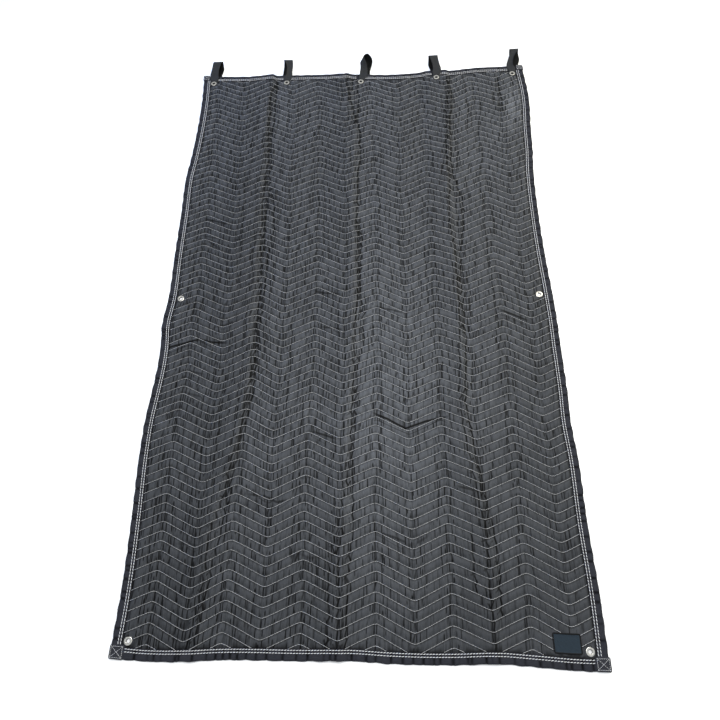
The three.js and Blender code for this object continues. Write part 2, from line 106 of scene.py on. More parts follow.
# Sharp lines of the creases, as places (along, across): pressed into the cloth and drawn with a painted shade line
CREASE_LINE = {
    "reach": 9, "core": 1.2, "soft": 3.4, "press": 3.3, "jitter": 1.3, "slant": 1.6, "faint": 0.7, "full": 1.15}
CREASE_LINES = [
    [(20, -400), (100, -391), (200, -379), (300, -360), (400, -345), (500, -328), (600, -318), (700, -318),
     (800, -312), (900, -307), (1000, -308), (1200, -317), (1400, -324), (1500, -320), (1600, -322), (1700, -335),
     (1800, -341), (1900, -344), (1990, -326)],
    [(40, -414), (100, -404), (200, -392), (300, -388), (400, -357), (500, -341), (570, -322), (650, -303),
     (800, -301), (950, -297), (1100, -297), (1200, -287), (1300, -279), (1400, -284), (1500, -306), (1600, -313),
     (1700, -324), (1900, -325), (1990, -318)],
    [(1180, -306), (1300, -310), (1400, -309), (1460, -303)],
    [(20, -68), (100, -64), (200, -70), (280, -52), (350, -37), (450, -18), (550, -6), (850, -6), (950, 0), (1050, 3),
     (1200, 7), (1300, 5), (1500, 3), (1600, 5), (1700, -2), (1800, -14), (1990, -14)],
    [(20, -20), (200, -20), (300, -4), (500, -4), (600, 5), (800, 3), (860, 22), (950, 25), (1050, 10), (1150, 14),
     (1250, 20), (1320, 12)],
    [(40, -43), (150, -41), (260, -45), (330, -24)],
    [(1750, -20), (1850, -33), (1900, -47), (1990, -52)],
    [(1910, -35), (1990, -33)],
    [(20, 346), (100, 344), (200, 337), (300, 345), (400, 330), (500, 317), (600, 309), (700, 300), (800, 306),
     (900, 313), (1000, 317), (1200, 322), (1300, 312), (1400, 314), (1500, 324), (1600, 305), (1700, 309),
     (1800, 306), (1900, 317), (1990, 321)],
    [(120, 362), (200, 367), (300, 366), (380, 350), (450, 344), (500, 332), (600, 328), (700, 315), (800, 328),
     (1000, 330), (1100, 330), (1200, 342), (1300, 358), (1400, 362), (1450, 348), (1550, 327), (1700, 319),
     (1800, 325), (1990, 331)],
    [(160, 305), (240, 304), (310, 307)],
    [(1790, 511), (1880, 508), (1975, 509)],
]

# Short cross folds, as places (across, along) from left to right, and how strong each is: its drop and its painted
# shade line
CROSS_FOLD = {"reach": 18, "core": 1.4, "soft": 5.0, "drop": 2.6, "spread": 6, "taper": 30}
CROSS_FOLDS = [
    (1.0, [(-604, 846), (-581, 851), (-518, 874), (-487, 882), (-448, 872), (-387, 865)]),
    (0.5, [(-464, 897), (-441, 922), (-364, 939)]),
    (0.7, [(52, 993), (113, 982), (160, 966)]),
    (0.75, [(-118, 920), (-70, 912), (-29, 904)]),
    (0.9, [(428, 974), (467, 958), (536, 926)]),
    (0.6, [(-518, 778), (-448, 762)]),
    (0.5, [(-514, 708), (-456, 693), (-425, 650)]),
    (0.55, [(-272, 828), (-238, 804)]),
    (0.5, [(-291, 739), (-240, 712)]),
    (1.0, [(44, 645), (98, 624), (148, 596), (205, 616), (277, 629)]),
    (0.85, [(-122, 584), (-80, 570), (-38, 554)]),
    (0.4, [(-279, 601), (-225, 578)]),
    (0.35, [(440, 590), (490, 635), (530, 668)]),
    (0.7, [(-302, 405), (-241, 397), (-210, 382), (-168, 390)]),
    (0.6, [(44, 312), (105, 297), (160, 274)]),
    (0.5, [(128, 274), (168, 286), (207, 309)]),
    (0.7, [(265, 432), (305, 420), (346, 407)]),
    (0.4, [(-156, 255), (-118, 239), (-76, 243)]),
    (0.4, [(-424, 312), (-354, 336)]),
    (0.45, [(-500, 470), (-450, 457)]),
    (0.45, [(-167, 444), (-111, 453)]),
    (0.4, [(-486, 280), (-398, 271)]),
    (0.85, [(-535, 1346), (-487, 1333), (-423, 1315)]),
    (0.6, [(-541, 1275), (-505, 1268), (-425, 1250)]),
    (0.7, [(-512, 1256), (-475, 1232), (-452, 1213)]),
    (0.8, [(-425, 1252), (-379, 1251), (-345, 1259), (-312, 1275)]),
    (0.5, [(-256, 1258), (-195, 1250)]),
    (0.5, [(-148, 1255), (-100, 1247)]),
    (0.8, [(-150, 1052), (-102, 1039), (-42, 1033)]),
    (0.75, [(130, 1299), (162, 1272)]),
    (0.5, [(146, 1428), (198, 1447), (262, 1467)]),
    (0.6, [(-166, 1764), (-133, 1751), (-112, 1739)]),
    (0.45, [(5, 1787), (60, 1779), (115, 1767)]),
    (0.65, [(34, 1606), (73, 1589)]),
]

# Painted highlights and painted shade in soft patches, where the lying cloth catches more or less light
PAINTED_LIGHT_PATCHES = table(
    "at size tone",
    ((552, 1830), (40, 100), 1.95), ((430, 1660), (150, 330), 1.12), ((100, 700), (260, 400), 1.5),
    ((110, 1250), (170, 300), 1.1), ((0, 1900), (700, 330), 1.07), ((-60, 80), (620, 280), 0.92),
    ((-480, 640), (130, 330), 0.95), ((-480, 130), (200, 260), 0.84), ((-430, 1270), (190, 400), 0.85),
    ((450, 330), (230, 450), 0.85))
# Painted light and shade on the climbing and falling sides of a crease, and the binding's painted shadow on the cloth
CREASE_TONES = table("at wide tone", (-38, 42, 0.88), (62, 48, 1.09))
EDGE_SHADE = {"tone": 0.1, "reach": 7}

# How far the cloth's lay draws the zigzag to the right at the foot, halfway and at the head, and how far it draws rows
# towards the head
ROW_SHIFTS = table(
    "at foot middle head middle_rise head_rise",
    (-610, -3, 4, 0, 3, -3), (-518, -3, 4, 0, 3, -3), (-425, -4, 9, 8, 2, -2), (-325, -5, 18, 15, -2, -3),
    (-230, -4, 4, 1, -1, 1), (-135, 0, 9, 4, 1, 3), (-37, -1, 4, 4, 0, 2), (55, -2, 8, 6, 2, 5),
    (148, -2, 4, 9, 4, 5), (245, -4, 0, -2, -2, 0), (340, -3, 0, 0, -4, -3), (435, -6, 7, -1, -5, -2),
    (532, -5, 0, -4, -3, -1), (610, -5, 0, -4, -3, -1))
# How far the rows of quilting have crept towards the head
ROW_CREEP = table(
    "at rise",
    (0, 4), (450, 8), (690, 8), (930, 3), (1170, 3), (1410, 8), (1650, 16), (1890, 26), (2032, 31))

# Shares of the length over which the shifts of the rows come in or die out
SHIFT_REACH = {
    "from_foot": (0.04, 0.17), "to_middle": (0.15, 0.3), "from_middle": (0.71, 0.86), "to_head": (0.71, 0.88),
    "drift": (0.65, 1), "middle_rise": (0.05, 0.25), "head_rise": (0.5, 0.8),
}
TURN_ROUNDNESS = 0.975

# Puckers across the padding, in loose columns from row to row: where they lie, how often each column has one, how deep
# it is, and how often it is whole, faint at its foot side or faint at its head side
PUCKER = {
    "near": 6, "far": 22, "wander": 4.5, "jitter": 2.2, "slant": 1.2, "narrow": 1.7, "wide": 2.3, "most": 300,
    "winding": (0.05, 0.4), "often": (0.4, 0.9), "shallow": 0.3, "deeper": 0.9, "rare": 1.6,
    "sides": (0.45, 0.3, 0.25), "faint": 0.25,
}
TURN_PUCKER = {"jitter": 1.2, "often": 0.75, "depth": (0.35, 1.1), "sides": (0.6, 0.2, 0.2)}

# How tightly the stitches draw the cloth at the foot's left corner, how that changes to the head and to the right, and
# how much of it there is along the zigzag's straights and at its turns
# It deepens the puckers and sets how strong their painted shade and the gathers' painted light and shade are
DRAWN = {"foot_left": 1.2, "to_head": 0.75, "to_right": -0.62, "straight": 0.74, "turn": 1.3}

# Steps from one row of stitches to the next, as shares of the channel and of the padding's height
CHANNEL_STEPS = [(0.0, 0.0), (0.2, 1.0), (0.8, 1.0)]
PANEL_COLUMNS = 351
UNDER_COLUMNS = 76
UNDER_ROWS = 96
PADDING_UNEVEN = 0.35
RIM = {"inset": 4, "low": 1.3, "high": 4.3, "slope": 12}
SHORTEST_RUN = 5
QUILTING = {"points": 401, "clear": 4, "lift": 0.2, "length": 1.35, "height": 0.8, "at_head": 1.1}

# Pressed eyelets, at one distance in from the edges
EYELET_INSET = 42
HEAD_EYELETS = (-568, -284, 0, 284, 568)
SIDE_EYELET = 1026
EYELET_PRESS = {"seat": 11.5, "spread": 9}
BORE_SLACK = 1.5

# Webbing loops: how each lies past the head edge, from the left. A strap swings about its eyelet, leans, rolls over,
# curls up along one edge in front, comes back to one side behind and stands up off the floor.
STRAP = {
    "end": 25, "tail": 9.5, "flat": 10.8, "climb": 14, "taper": 30, "ease": 2.5, "gap": 0.3, "clear": 1, "cup": 0.08,
    "free": 0.3, "curl_lift": 0.3,
}
STRAP_POINTS = {"seat": 12, "climb": 9, "loop": 56, "back": 16}
LOOPS = table(
    "reach open swing lean roll curl back rise",
    (66, 26, 0, 9, 0, 5, 5, 1), (66, 26, 0, 1, 2, -16, -2, 4), (62, 34, 14, 6, -60, 8, 1, 11),
    (66, 30, 0, -10, -2, -7, -2, 4), (68, 31, 0, 13, -1, 15, 9, 5))
LOOP_BEND = {"rise": (0.35, 0.7), "crest": (0.72, 1), "tip": (1, 0.55), "turn": (0.8, 0.06), "back": 0.4}
LOOP_ROLLED = 0.75
LOOP_FLAT = 0.92

# Corner patches: from how far outside each edge to how far in, and their round corners
CORNERS = {
    "corner_foot_left": {"side": "left", "end": "foot", "across": (-1, 36), "along": (-1, 32)},
    "corner_foot_right": {"side": "right", "end": "foot", "across": (-3, 33), "along": (0, 32)},
    "corner_head_left": {"side": "left", "end": "head", "across": (-2, 24), "along": (-2, 24)},
    "corner_head_right": {"side": "right", "end": "head", "across": (-2, 24), "along": (-2, 24)},
}
PATCH = {
    "corner": 4, "hem": 4, "gap": 4, "stitch": 4.2, "thread": 0.75, "length": 0.95, "height": 0.8, "over": 1.02}
PATCH_PROFILE = [(1.5, 0.0), (0.2, 0.12), (0.0, 0.5), (0.2, 0.85), (1.4, 0.97), (4.0, 0.94), (8.0, 1.0)]

# Folded tape: distance in and height as shares of the binding's, and how far it gives way to a gather.
# The section runs from the inner edge over the top, round the fold, back underneath and then inside the fold.
BINDING_SECTION = [
    (1.0, 0.82, 0.3), (0.99, 0.94, 0.6), (0.88, 0.89, 1.0), (0.71, 1.0, 0.7), (0.55, 0.9, 1.0), (0.39, 1.02, 0.8),
    (0.2, 1.0, 0.8), (0.08, 0.9, 0.6), (0.02, 0.73, 0.4), (0.0, 0.5, 0.2), (0.02, 0.25, 0.1), (0.09, 0.05, 0.0),
    (0.2, 0.0, 0.0), (1.0, 0.0, 0.0), (1.0, 0.14, 0.0), (0.25, 0.14, 0.0), (0.11, 0.25, 0.0), (0.06, 0.5, 0.0),
    (0.11, 0.74, 0.0), (0.25, 0.8, 0.0),
]
BINDING = {"step": 3, "gap": 0.3}
GATHER = {"most": 400, "near": 9, "far": 40, "shallow": 0.1, "deep": 1.4, "width": 2.5, "draw": 0.6, "dark": 0.5}
EDGE_WAVER = {"length": 46, "size": 0.9, "beat": 7.3}
EDGING = {"step": 4, "seat": 0.96, "length": 0.94, "height": 0.7, "slant": 0.16, "under_strap": 2}
OUTLINE = {"points": 72, "corner": 7, "tightest": 0.3}

# Rolled eyelet from its outer rim over the top, down the bore and back: radius from bore (0) to rim (1), and the
# height in millimetres over its lowest point, or under its highest one where it is negative
EYELET_PROFILE = [
    (1.0, -0.75), (0.985, -0.4), (0.9, -0.12), (0.7, -0.02), (0.45, -0.1), (0.3, 0.0), (0.14, -0.05), (0.03, -0.35),
    (0.0, -1.0), (0.0, 1.0), (0.06, 0.45), (0.25, 0.15), (0.9, 0.0), (1.0, 0.25), (0.95, 0.7), (0.26, 0.9),
    (0.22, 1.3), (0.22, -1.4), (0.26, -1.05), (0.94, -0.95),
]
EYELET_SIDES = 40

LABEL = {"place": (515.5, 57), "turn": 1, "seat": 5.6, "margin": 8, "slope": 10}
LABEL_PROFILE = [
    (0.6, 0.3), (0.0, 0.5), (0.0, 0.9), (0.5, 1.35), (1.6, 1.5), (2.8, 1.35), (3.6, 1.0), (8, 1.0), (16, 1.15)]
OVERLOCK = {"pitch": 1.3, "thread": 1.0, "height": 0.9, "lift": 1.3, "slant": 1.25}

# Across a strap: share of its half width, and of its thickness
STRAP_SECTION = [(1, 0.35), (0.96, 0.9), (0.6, 1), (0.2, 1), (-0.2, 1), (-0.6, 1), (-0.96, 0.9), (-1, 0.35)]

# Stage in metres: the camera as solved from the blanket's edges, from the middle of its foot edge and in degrees
CAMERA = {"lens": 26.717, "sensor": 36, "place": (0.0914, 0.1680, 1.4831), "turn": (23.09, 2.91, 0.654)}
FLOOR_REACH = 20
STUDIO = {"colour": (0.91, 0.955, 1, 1), "strength": 0.6}
LIGHTS = table(
    "name place size power tint mirrored",
    ("overhead", (0.1, 0.1, 2.5), 1.4, 70, (1, 1, 1), True),
    ("window", (2.4, 1.3, 1.8), 1.2, 60, (1, 0.93, 0.74), True),
    ("sky", (-1.5, 1.9, 1.4), 1.2, 24, (0.13, 0.36, 1), False))


# Settings

def linear(code):
    """Linear colour of an sRGB hex value."""
    shares = [int(code[i:i + 2], 16) / 255 for i in (1, 3, 5)]
    return [c / 12.92 if c <= 0.04045 else ((c + 0.055) / 1.055) ** 2.4 for c in shares] + [1.0]


def distance(name, description, millimetres):
    return FloatProperty(name=name, description=description, default=millimetres * MM, unit="LENGTH", precision=5)


def colour(name, description, code):
    return FloatVectorProperty(
        name=name, description=description, default=linear(code), subtype="COLOR", size=4, min=0, max=1)


class BlanketQuilt(bpy.types.PropertyGroup):
    """Sizes of the quilted cloth"""

    width: distance("Width", "Across the cut cloth", 1220)
    length: distance("Length", "From foot edge to head edge", 2032)
    pitch: distance("Row pitch", "From one row of quilting to the next", 24.4)
    wave: distance("Zigzag length", "From one peak of a row to the next", 191.4)
    swing: distance("Zigzag height", "From a row's troughs to its peaks", 41)
    first_peak: distance("First peak", "Place of a peak across the cloth", -518)
    first_row: distance("First row", "Middle of the first row", 12.5)
    drift: distance("Drift", "How far the zigzag has slipped to the left at the head", 36)
    valley: distance("Valley", "Height of the cloth under a row of stitches", 5.0)
    crown: distance("Crown", "Height of the padding between two rows", 8.0)
    pucker: distance("Pucker", "Depth of a full pucker across the padding", 2.8)
    stitch: distance("Stitch", "Pitch of the quilting stitches", 7.0)
    thread: distance("Thread", "Width of the quilting thread", 0.95)
    seed: IntProperty(name="Seed", description="Which irregular puckers and wrinkles the cloth has", default=7)


class BlanketEdge(bpy.types.PropertyGroup):
    """Sizes of the binding and its sewing"""

    width: distance("Binding width", "From the folded edge to the tape's inner edge", 27)
    top: distance("Binding height", "Height of the folded tape", 5.6)
    outer_row: distance("Outer row", "Outer row of stitches, in from the edge", 17.6)
    inner_row: distance("Inner row", "Inner row of stitches, in from the edge", 24.1)
    stitch: distance("Stitch", "Pitch of the edge stitches", 7.4)
    thread: distance("Thread", "Width of the edge thread", 1.7)
    patch: distance("Patch", "Height of a corner patch", 6.8)


class BlanketFittings(bpy.types.PropertyGroup):
    """Sizes of the eyelets, loops and label"""

    bore: distance("Bore", "Radius of an eyelet's hole", 5.0)
    flange: distance("Flange", "Radius of an eyelet's rim", 10.5)
    webbing: distance("Webbing", "Width of a loop's webbing", 38)
    webbing_thickness: distance("Webbing thickness", "Thickness of a loop's webbing", 1.3)
    label_width: distance("Label width", "Across the label", 68)
    label_height: distance("Label height", "Up the label", 46)
    label_corner: distance("Label corner", "Radius of the label's corners", 5)
    label_border: distance("Label border", "Width of the label's overlocked border", 3.6)


class BlanketColours(bpy.types.PropertyGroup):
    """Colours of the blanket"""

    cloth: colour("Cloth", "Charcoal cover cloth", "#3b3d40")
    tape: colour("Binding", "Darker binding tape", "#2a2b30")
    webbing: colour("Webbing", "Dark grey webbing", "#292a2b")
    nickel: colour("Nickel", "Plated eyelets", "#d6d3cc")
    label: colour("Label", "Slate label cloth", "#1d2831")
    border: colour("Label border", "Black overlock thread", "#0b0c0e")
    quilting: colour("Quilting thread", "Light grey thread", "#bfc0c2")
    edging: colour("Edge thread", "Off-white thread", "#cfd0d1")
    floor: colour("Floor", "Pale floor", "#f4f4f4")


class BlanketSettings(bpy.types.PropertyGroup):
    """All settings of the blanket"""

    quilt: PointerProperty(type=BlanketQuilt)
    edge: PointerProperty(type=BlanketEdge)
    fittings: PointerProperty(type=BlanketFittings)
    colours: PointerProperty(type=BlanketColours)


def settings():
    return bpy.context.scene.blanket


# Lay of the cloth

def ramp(value, low, high):
    """Smooth step from 0 at low to 1 at high."""
    share = np.clip((value - low) / (high - low), 0, 1)
    return share * share * (3 - 2 * share)


def smooth_curve(x, y, at):
    """Values at the places at of a smooth curve through the points (x, y)."""
    slope = np.gradient(y, x, axis=0)
    at = np.clip(at, x[0], x[-1])
    i = np.clip(np.searchsorted(x, at, side="right") - 1, 0, len(x) - 2)
    step = x[i + 1] - x[i]
    t = (at - x[i]) / step
    if y.ndim > 1:
        step, t = step[:, None], t[:, None]
    value = (1 + 2 * t) * (1 - t) ** 2 * y[i] + t * t * (3 - 2 * t) * y[i + 1]
    return value + t * (1 - t) * step * ((1 - t) * slope[i] - t * slope[i + 1])


def through(rows, column, at):
    """Smooth curve through one column of a table in millimetres, at places in metres."""
    x = np.array([row["at"] for row in rows]) * MM
    y = np.array([row[column] for row in rows]) * MM
    return smooth_curve(x, y, np.asarray(at, float))


def crease_lift(u, v):
    lift = 0
    for rows in CREASES.values():
        off = u - through(rows, "crest", v)
        climb = np.clip(1 + off / (CREASE["climb"] * MM), 0, 1) ** CREASE["bow"]
        drop = 1 - ramp(off, 0, CREASE["drop"] * MM)
        lift = lift + through(rows, "height", v) * np.where(off < 0, climb, drop)
    return lift


def from_edge(u, v):
    """Distance in from the nearest edge of the flat cloth."""
    quilt = settings().quilt
    return np.minimum(quilt.width / 2 - np.abs(u), np.minimum(v, quilt.length - v))


def soft_waves(u, v):
    height = 0
    for wave in SOFT_WAVES:
        turns = u / (wave["across"] * MM) + v / (wave["along"] * MM)
        height = height + wave["height"] * MM * (1 + np.sin(2 * math.pi * turns + wave["phase"])) / 2
    return height * ramp(from_edge(u, v), WAVE_EDGE["from"] * MM, WAVE_EDGE["to"] * MM)


def lift(u, v):
    """Height of the cloth's underside above the floor."""
    height = crease_lift(u, v)
    near_head = ramp(v, HEAD_LEVEL["from"] * MM, HEAD_LEVEL["to"] * MM)
    for eyelet in HEAD_EYELETS:
        away = np.abs(u - eyelet * MM)
        level = near_head * (1 - ramp(away, HEAD_LEVEL["reach"] * MM, HEAD_LEVEL["blend"] * MM))
        height = height + level * (crease_lift(eyelet * MM, v) - height)
    climb = np.clip((v / MM - HEAD_LIFT["from"]) / (HEAD_LIFT["to"] - HEAD_LIFT["from"]), 0, 1)
    return height + climb * HEAD_LIFT["height"] * MM + soft_waves(u, v)


def spread(u, v):
    """Place of cloth points over the floor, before the blanket's origin."""
    quilt = settings().quilt
    left, right = through(SIDE_EDGES, "left", v), through(SIDE_EDGES, "right", v)
    foot, head = through(END_EDGES, "foot", u), through(END_EDGES, "head", u)
    x = u + left + (right - left) * (u / quilt.width + 0.5)
    y = v + foot + (head - foot) * v / quilt.length
    return x, y


def floor_origin():
    """Where the middle of the straight foot edge lies in the frame, found from an eyelet on the side."""
    low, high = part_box("eyelet_side_left")
    x, y = spread(EYELET_INSET * MM - settings().quilt.width / 2, SIDE_EYELET * MM)
    return np.array([(low.x + high.x) / 2 - float(x), (low.y + high.y) / 2 - float(y), 0])


def lay(u, v, w):
    """Frame points of the cloth at (u, v) and height w above its underside."""
    u, v, w = np.broadcast_arrays(np.asarray(u, float), np.asarray(v, float), np.asarray(w, float))
    x, y = spread(u, v)
    return np.stack([x, y, lift(u, v) + w], axis=-1) + floor_origin()


def eyelet_places():
    """Flat places of all eyelets, as node name to (u, v)."""
    quilt = settings().quilt
    side = quilt.width / 2 - EYELET_INSET * MM
    foot, head = EYELET_INSET * MM, quilt.length - EYELET_INSET * MM
    places = {
        "eyelet_side_left": (-side, SIDE_EYELET * MM),
        "eyelet_side_right": (side, SIDE_EYELET * MM),
        "eyelet_foot_left": (-side, foot),
        "eyelet_foot_right": (side, foot),
    }
    for i, u in enumerate(HEAD_EYELETS):
        places[f"eyelet_head_{i + 1}"] = (u * MM, head)
    return places


# Quilting

def row_shift(u, v):
    """How far the zigzag has slipped to the right."""
    quilt = settings().quilt
    share = v / quilt.length
    reach = {name: ramp(share, *ends) for name, ends in SHIFT_REACH.items()}
    middle = reach["to_middle"] * (1 - reach["from_middle"])
    shift = middle * through(ROW_SHIFTS, "middle", u) + reach["to_head"] * through(ROW_SHIFTS, "head", u)
    shift = shift + (1 - reach["from_foot"]) * through(ROW_SHIFTS, "foot", u)
    return shift - quilt.drift * reach["drift"]


def row_rise(u, v):
    """How far a row of quilting has crept towards the head."""
    share = v / settings().quilt.length
    near_head = ramp(share, *SHIFT_REACH["head_rise"])
    bow = ramp(share, *SHIFT_REACH["middle_rise"]) * (1 - near_head) * through(ROW_SHIFTS, "middle_rise", u)
    return through(ROW_CREEP, "rise", v) + bow + near_head * through(ROW_SHIFTS, "head_rise", u)


def zigzag(u, v):
    """Offset of a quilting row along the cloth, with rounded turns."""
    quilt = settings().quilt
    phase = (u - row_shift(u, v) - quilt.first_peak) / quilt.wave
    return quilt.swing / 2 * np.arcsin(TURN_ROUNDNESS * np.cos(2 * math.pi * phase)) / math.asin(TURN_ROUNDNESS)


def row_line(row, u):
    """Place along the cloth of a quilting row, or of a step between two rows, clipped at the binding."""
    quilt, edge = settings().quilt, settings().edge
    middle = quilt.first_row + row * quilt.pitch
    return np.clip(middle + row_rise(u, middle) + zigzag(u, middle), edge.width, quilt.length - edge.width)


def channel_count():
    quilt = settings().quilt
    return math.ceil((quilt.length + quilt.swing) / quilt.pitch) + 1


def drawn(u, v):
    """How tightly the stitches draw the cloth, and how strong the painted shade of its puckers and gathers is."""
    quilt = settings().quilt
    tight = DRAWN["foot_left"] + DRAWN["to_head"] * v / quilt.length + DRAWN["to_right"] * (u / quilt.width + 0.5)
    at_turn = np.cos(2 * math.pi * (u - row_shift(u, v) - quilt.first_peak) / quilt.wave) ** 2
    return tight * (DRAWN["straight"] + (DRAWN["turn"] - DRAWN["straight"]) * at_turn)


def pucker_depths(u, rng):
    """Share of a full pucker in each channel, at its foot side and its head side, at each column."""
    quilt = settings().quilt
    channels = channel_count()
    middle = quilt.first_row + (np.arange(channels) + 0.5) * quilt.pitch
    steps = rng.uniform(PUCKER["near"], PUCKER["far"], PUCKER["most"]) * MM
    places = np.cumsum(steps) - quilt.width / 2
    places = places[places < quilt.width / 2]
    shape = (channels, len(places))
    turn, start = rng.uniform(*PUCKER["winding"], shape[1]), rng.uniform(0, 2 * math.pi, shape[1])
    centre = places + PUCKER["wander"] * MM * np.sin(np.arange(channels)[:, None] * turn + start)
    centre = centre + rng.normal(0, PUCKER["jitter"] * MM, shape)
    there = rng.random(shape) < rng.uniform(*PUCKER["often"], shape[1])
    depth = there * (PUCKER["shallow"] + PUCKER["deeper"] * rng.random(shape) ** PUCKER["rare"])
    columns = [(centre, depth, rng.uniform(PUCKER["narrow"], PUCKER["wide"], shape) * MM,
                rng.normal(0, PUCKER["slant"] * MM, shape), rng.choice(3, shape, p=PUCKER["sides"]))]
    # A pucker at most turns of the zigzag, where the stitches gather the cloth
    turns = quilt.first_peak + quilt.wave / 2 * np.arange(-1, 13)
    shape = (channels, len(turns))
    centre = turns + row_shift(turns[None, :], middle[:, None]) + rng.normal(0, TURN_PUCKER["jitter"] * MM, shape)
    depth = (rng.random(shape) < TURN_PUCKER["often"]) * rng.uniform(*TURN_PUCKER["depth"], shape)
    columns.append((centre, depth, np.full(shape, PUCKER["narrow"] * MM),
                    rng.normal(0, PUCKER["slant"] * MM, shape), rng.choice(3, shape, p=TURN_PUCKER["sides"])))
    centre, depth, width, slant, part = (np.concatenate([column[i] for column in columns], axis=1) for i in range(5))
    depth = depth * np.minimum(drawn(centre, middle[:, None]), 1)
    sides = []
    for side, faint in ((-1, 1), (1, 2)):
        off = (u[None, :, None] - (centre + side * slant)[:, None, :]) / width[:, None, :]
        strength = depth * np.where(part == faint, PUCKER["faint"], 1)
        sides.append((strength[:, None, :] * np.exp(-off * off)).max(axis=2))
    return sides


def crease_lines(u, rng):
    """Distance across the cloth from the nearest line of a crease in each channel, and how dark that line is there,
    at the channel's foot side and its head side."""
    quilt = settings().quilt
    channels = channel_count()
    middle = quilt.first_row + (np.arange(channels) + 0.5) * quilt.pitch
    reach = CREASE_LINE["reach"] * MM
    sides = [(np.full((channels, len(u)), reach), np.zeros((channels, len(u)))) for side in range(2)]
    for line in CREASE_LINES:
        along, across = np.array(line).T * MM
        near = np.interp(middle, along, across)
        centre = np.interp(middle + row_rise(near, middle) + zigzag(near, middle), along, across)
        centre = centre + rng.normal(0, CREASE_LINE["jitter"] * MM, channels)
        slant = rng.normal(0, CREASE_LINE["slant"] * MM, channels)
        # How dark each line's painted shade is on each side, which also sets how deep it is pressed
        dark = rng.uniform(CREASE_LINE["faint"], CREASE_LINE["full"], (2, channels)).clip(0, 1)
        dark = dark * ((middle > along[0]) & (middle < along[-1]))
        for side, (off, strength) in enumerate(sides):
            away = u - (centre + (2 * side - 1) * slant)[:, None]
            nearer = (np.abs(away) < np.abs(off)) & (dark[side] > 0)[:, None]
            sides[side] = np.where(nearer, away, off), np.where(nearer, dark[side][:, None], strength)
    return sides


def cross_folds(u, v):
    """Distance along the cloth from the nearest cross fold, and how dark that fold is there."""
    reach = CROSS_FOLD["reach"] * MM
    off, dark = np.full(v.shape, reach), np.zeros(v.shape)
    for full, path in CROSS_FOLDS:
        across, along = np.array(path).T * MM
        ease = min((across[-1] - across[0]) / 3, CROSS_FOLD["taper"] * MM)
        # How strong the fold is here: its drop in the padding and its painted shade line
        here = full * ramp(u, across[0], across[0] + ease) * (1 - ramp(u, across[-1] - ease, across[-1]))
        away = v - np.interp(u, across, along)
        nearer = (np.abs(away) < np.abs(off)) & (here > 0)
        off, dark = np.where(nearer, away, off), np.where(nearer, here, dark)
    return off, dark


def painted_shading(u, v):
    """Painted highlights and shade in patches and beside the creases, and the binding's painted shadow on the cloth."""
    tone = 1
    for patch in PAINTED_LIGHT_PATCHES:
        away = [(at - middle * MM) / (size * MM) for at, middle, size in zip((u, v), patch["at"], patch["size"])]
        tone = tone + (patch["tone"] - 1) * np.exp(-away[0] ** 2 - away[1] ** 2)
    for rows in CREASES.values():
        off = (u - through(rows, "crest", v)) / MM
        for side in CREASE_TONES:
            away = (off - side["at"]) / side["wide"]
            tone = tone * (1 + (side["tone"] - 1) * np.exp(-away ** 2))
    # Painted shadow of the binding over the cloth next to it
    low, width = EDGE_SHADE["tone"], settings().edge.width
    return tone * (low + (1 - low) * ramp(from_edge(u, v), width, width + EDGE_SHADE["reach"] * MM))


def pressed(u, v, w):
    """Height of the face where the binding, eyelets, straps and label press it down."""
    edge, fittings = settings().edge, settings().fittings
    seat = EYELET_PRESS["seat"] * MM
    free = ramp(from_edge(u, v), edge.width, edge.width + RIM["slope"] * MM)
    for name, (at_u, at_v) in eyelet_places().items():
        away = np.hypot(u - at_u, v - at_v)
        if name.startswith("eyelet_head"):
            beside = np.abs(u - at_u) - fittings.webbing / 2 + seat
            away = np.where(v > at_v, np.maximum(beside, 0), away)
        free = free * ramp(away, seat, seat + EYELET_PRESS["spread"] * MM)
    for name in CORNERS:
        free = free * ramp(patch_distance(name, u, v), 0, EYELET_PRESS["spread"] * MM)
    high = RIM["high"] * MM + (w - RIM["high"] * MM) * free
    low, margin = LABEL["seat"] * MM, LABEL["margin"] * MM
    from_label = ramp(label_distance(u, v), margin, margin + LABEL["slope"] * MM)
    return np.minimum(high, low) + np.maximum(high - low, 0) * from_label


def label_distance(u, v):
    """Distance outside the label's outline on the flat cloth."""
    fittings = settings().fittings
    turn = math.radians(LABEL["turn"])
    right, up = u - LABEL["place"][0] * MM, v - LABEL["place"][1] * MM
    across = np.abs(right * math.cos(turn) + up * math.sin(turn)) - fittings.label_width / 2
    along = np.abs(up * math.cos(turn) - right * math.sin(turn)) - fittings.label_height / 2
    return np.maximum(across, along)


def patch_distance(name, u, v):
    """Distance outside a corner patch on the flat cloth."""
    quilt, row = settings().quilt, CORNERS[name]
    from_side = quilt.width / 2 + (u if row["side"] == "left" else -u)
    from_end = v if row["end"] == "foot" else quilt.length - v
    return np.maximum(from_side - row["across"][1] * MM, from_end - row["along"][1] * MM)


def edge_place(side, along, inset):
    """Flat place of a point along an edge and at a distance in from it."""
    quilt = settings().quilt
    return {
        "foot": (along, inset),
        "head": (along, quilt.length - inset),
        "left": (inset - quilt.width / 2, along),
        "right": (quilt.width / 2 - inset, along),
    }[side]


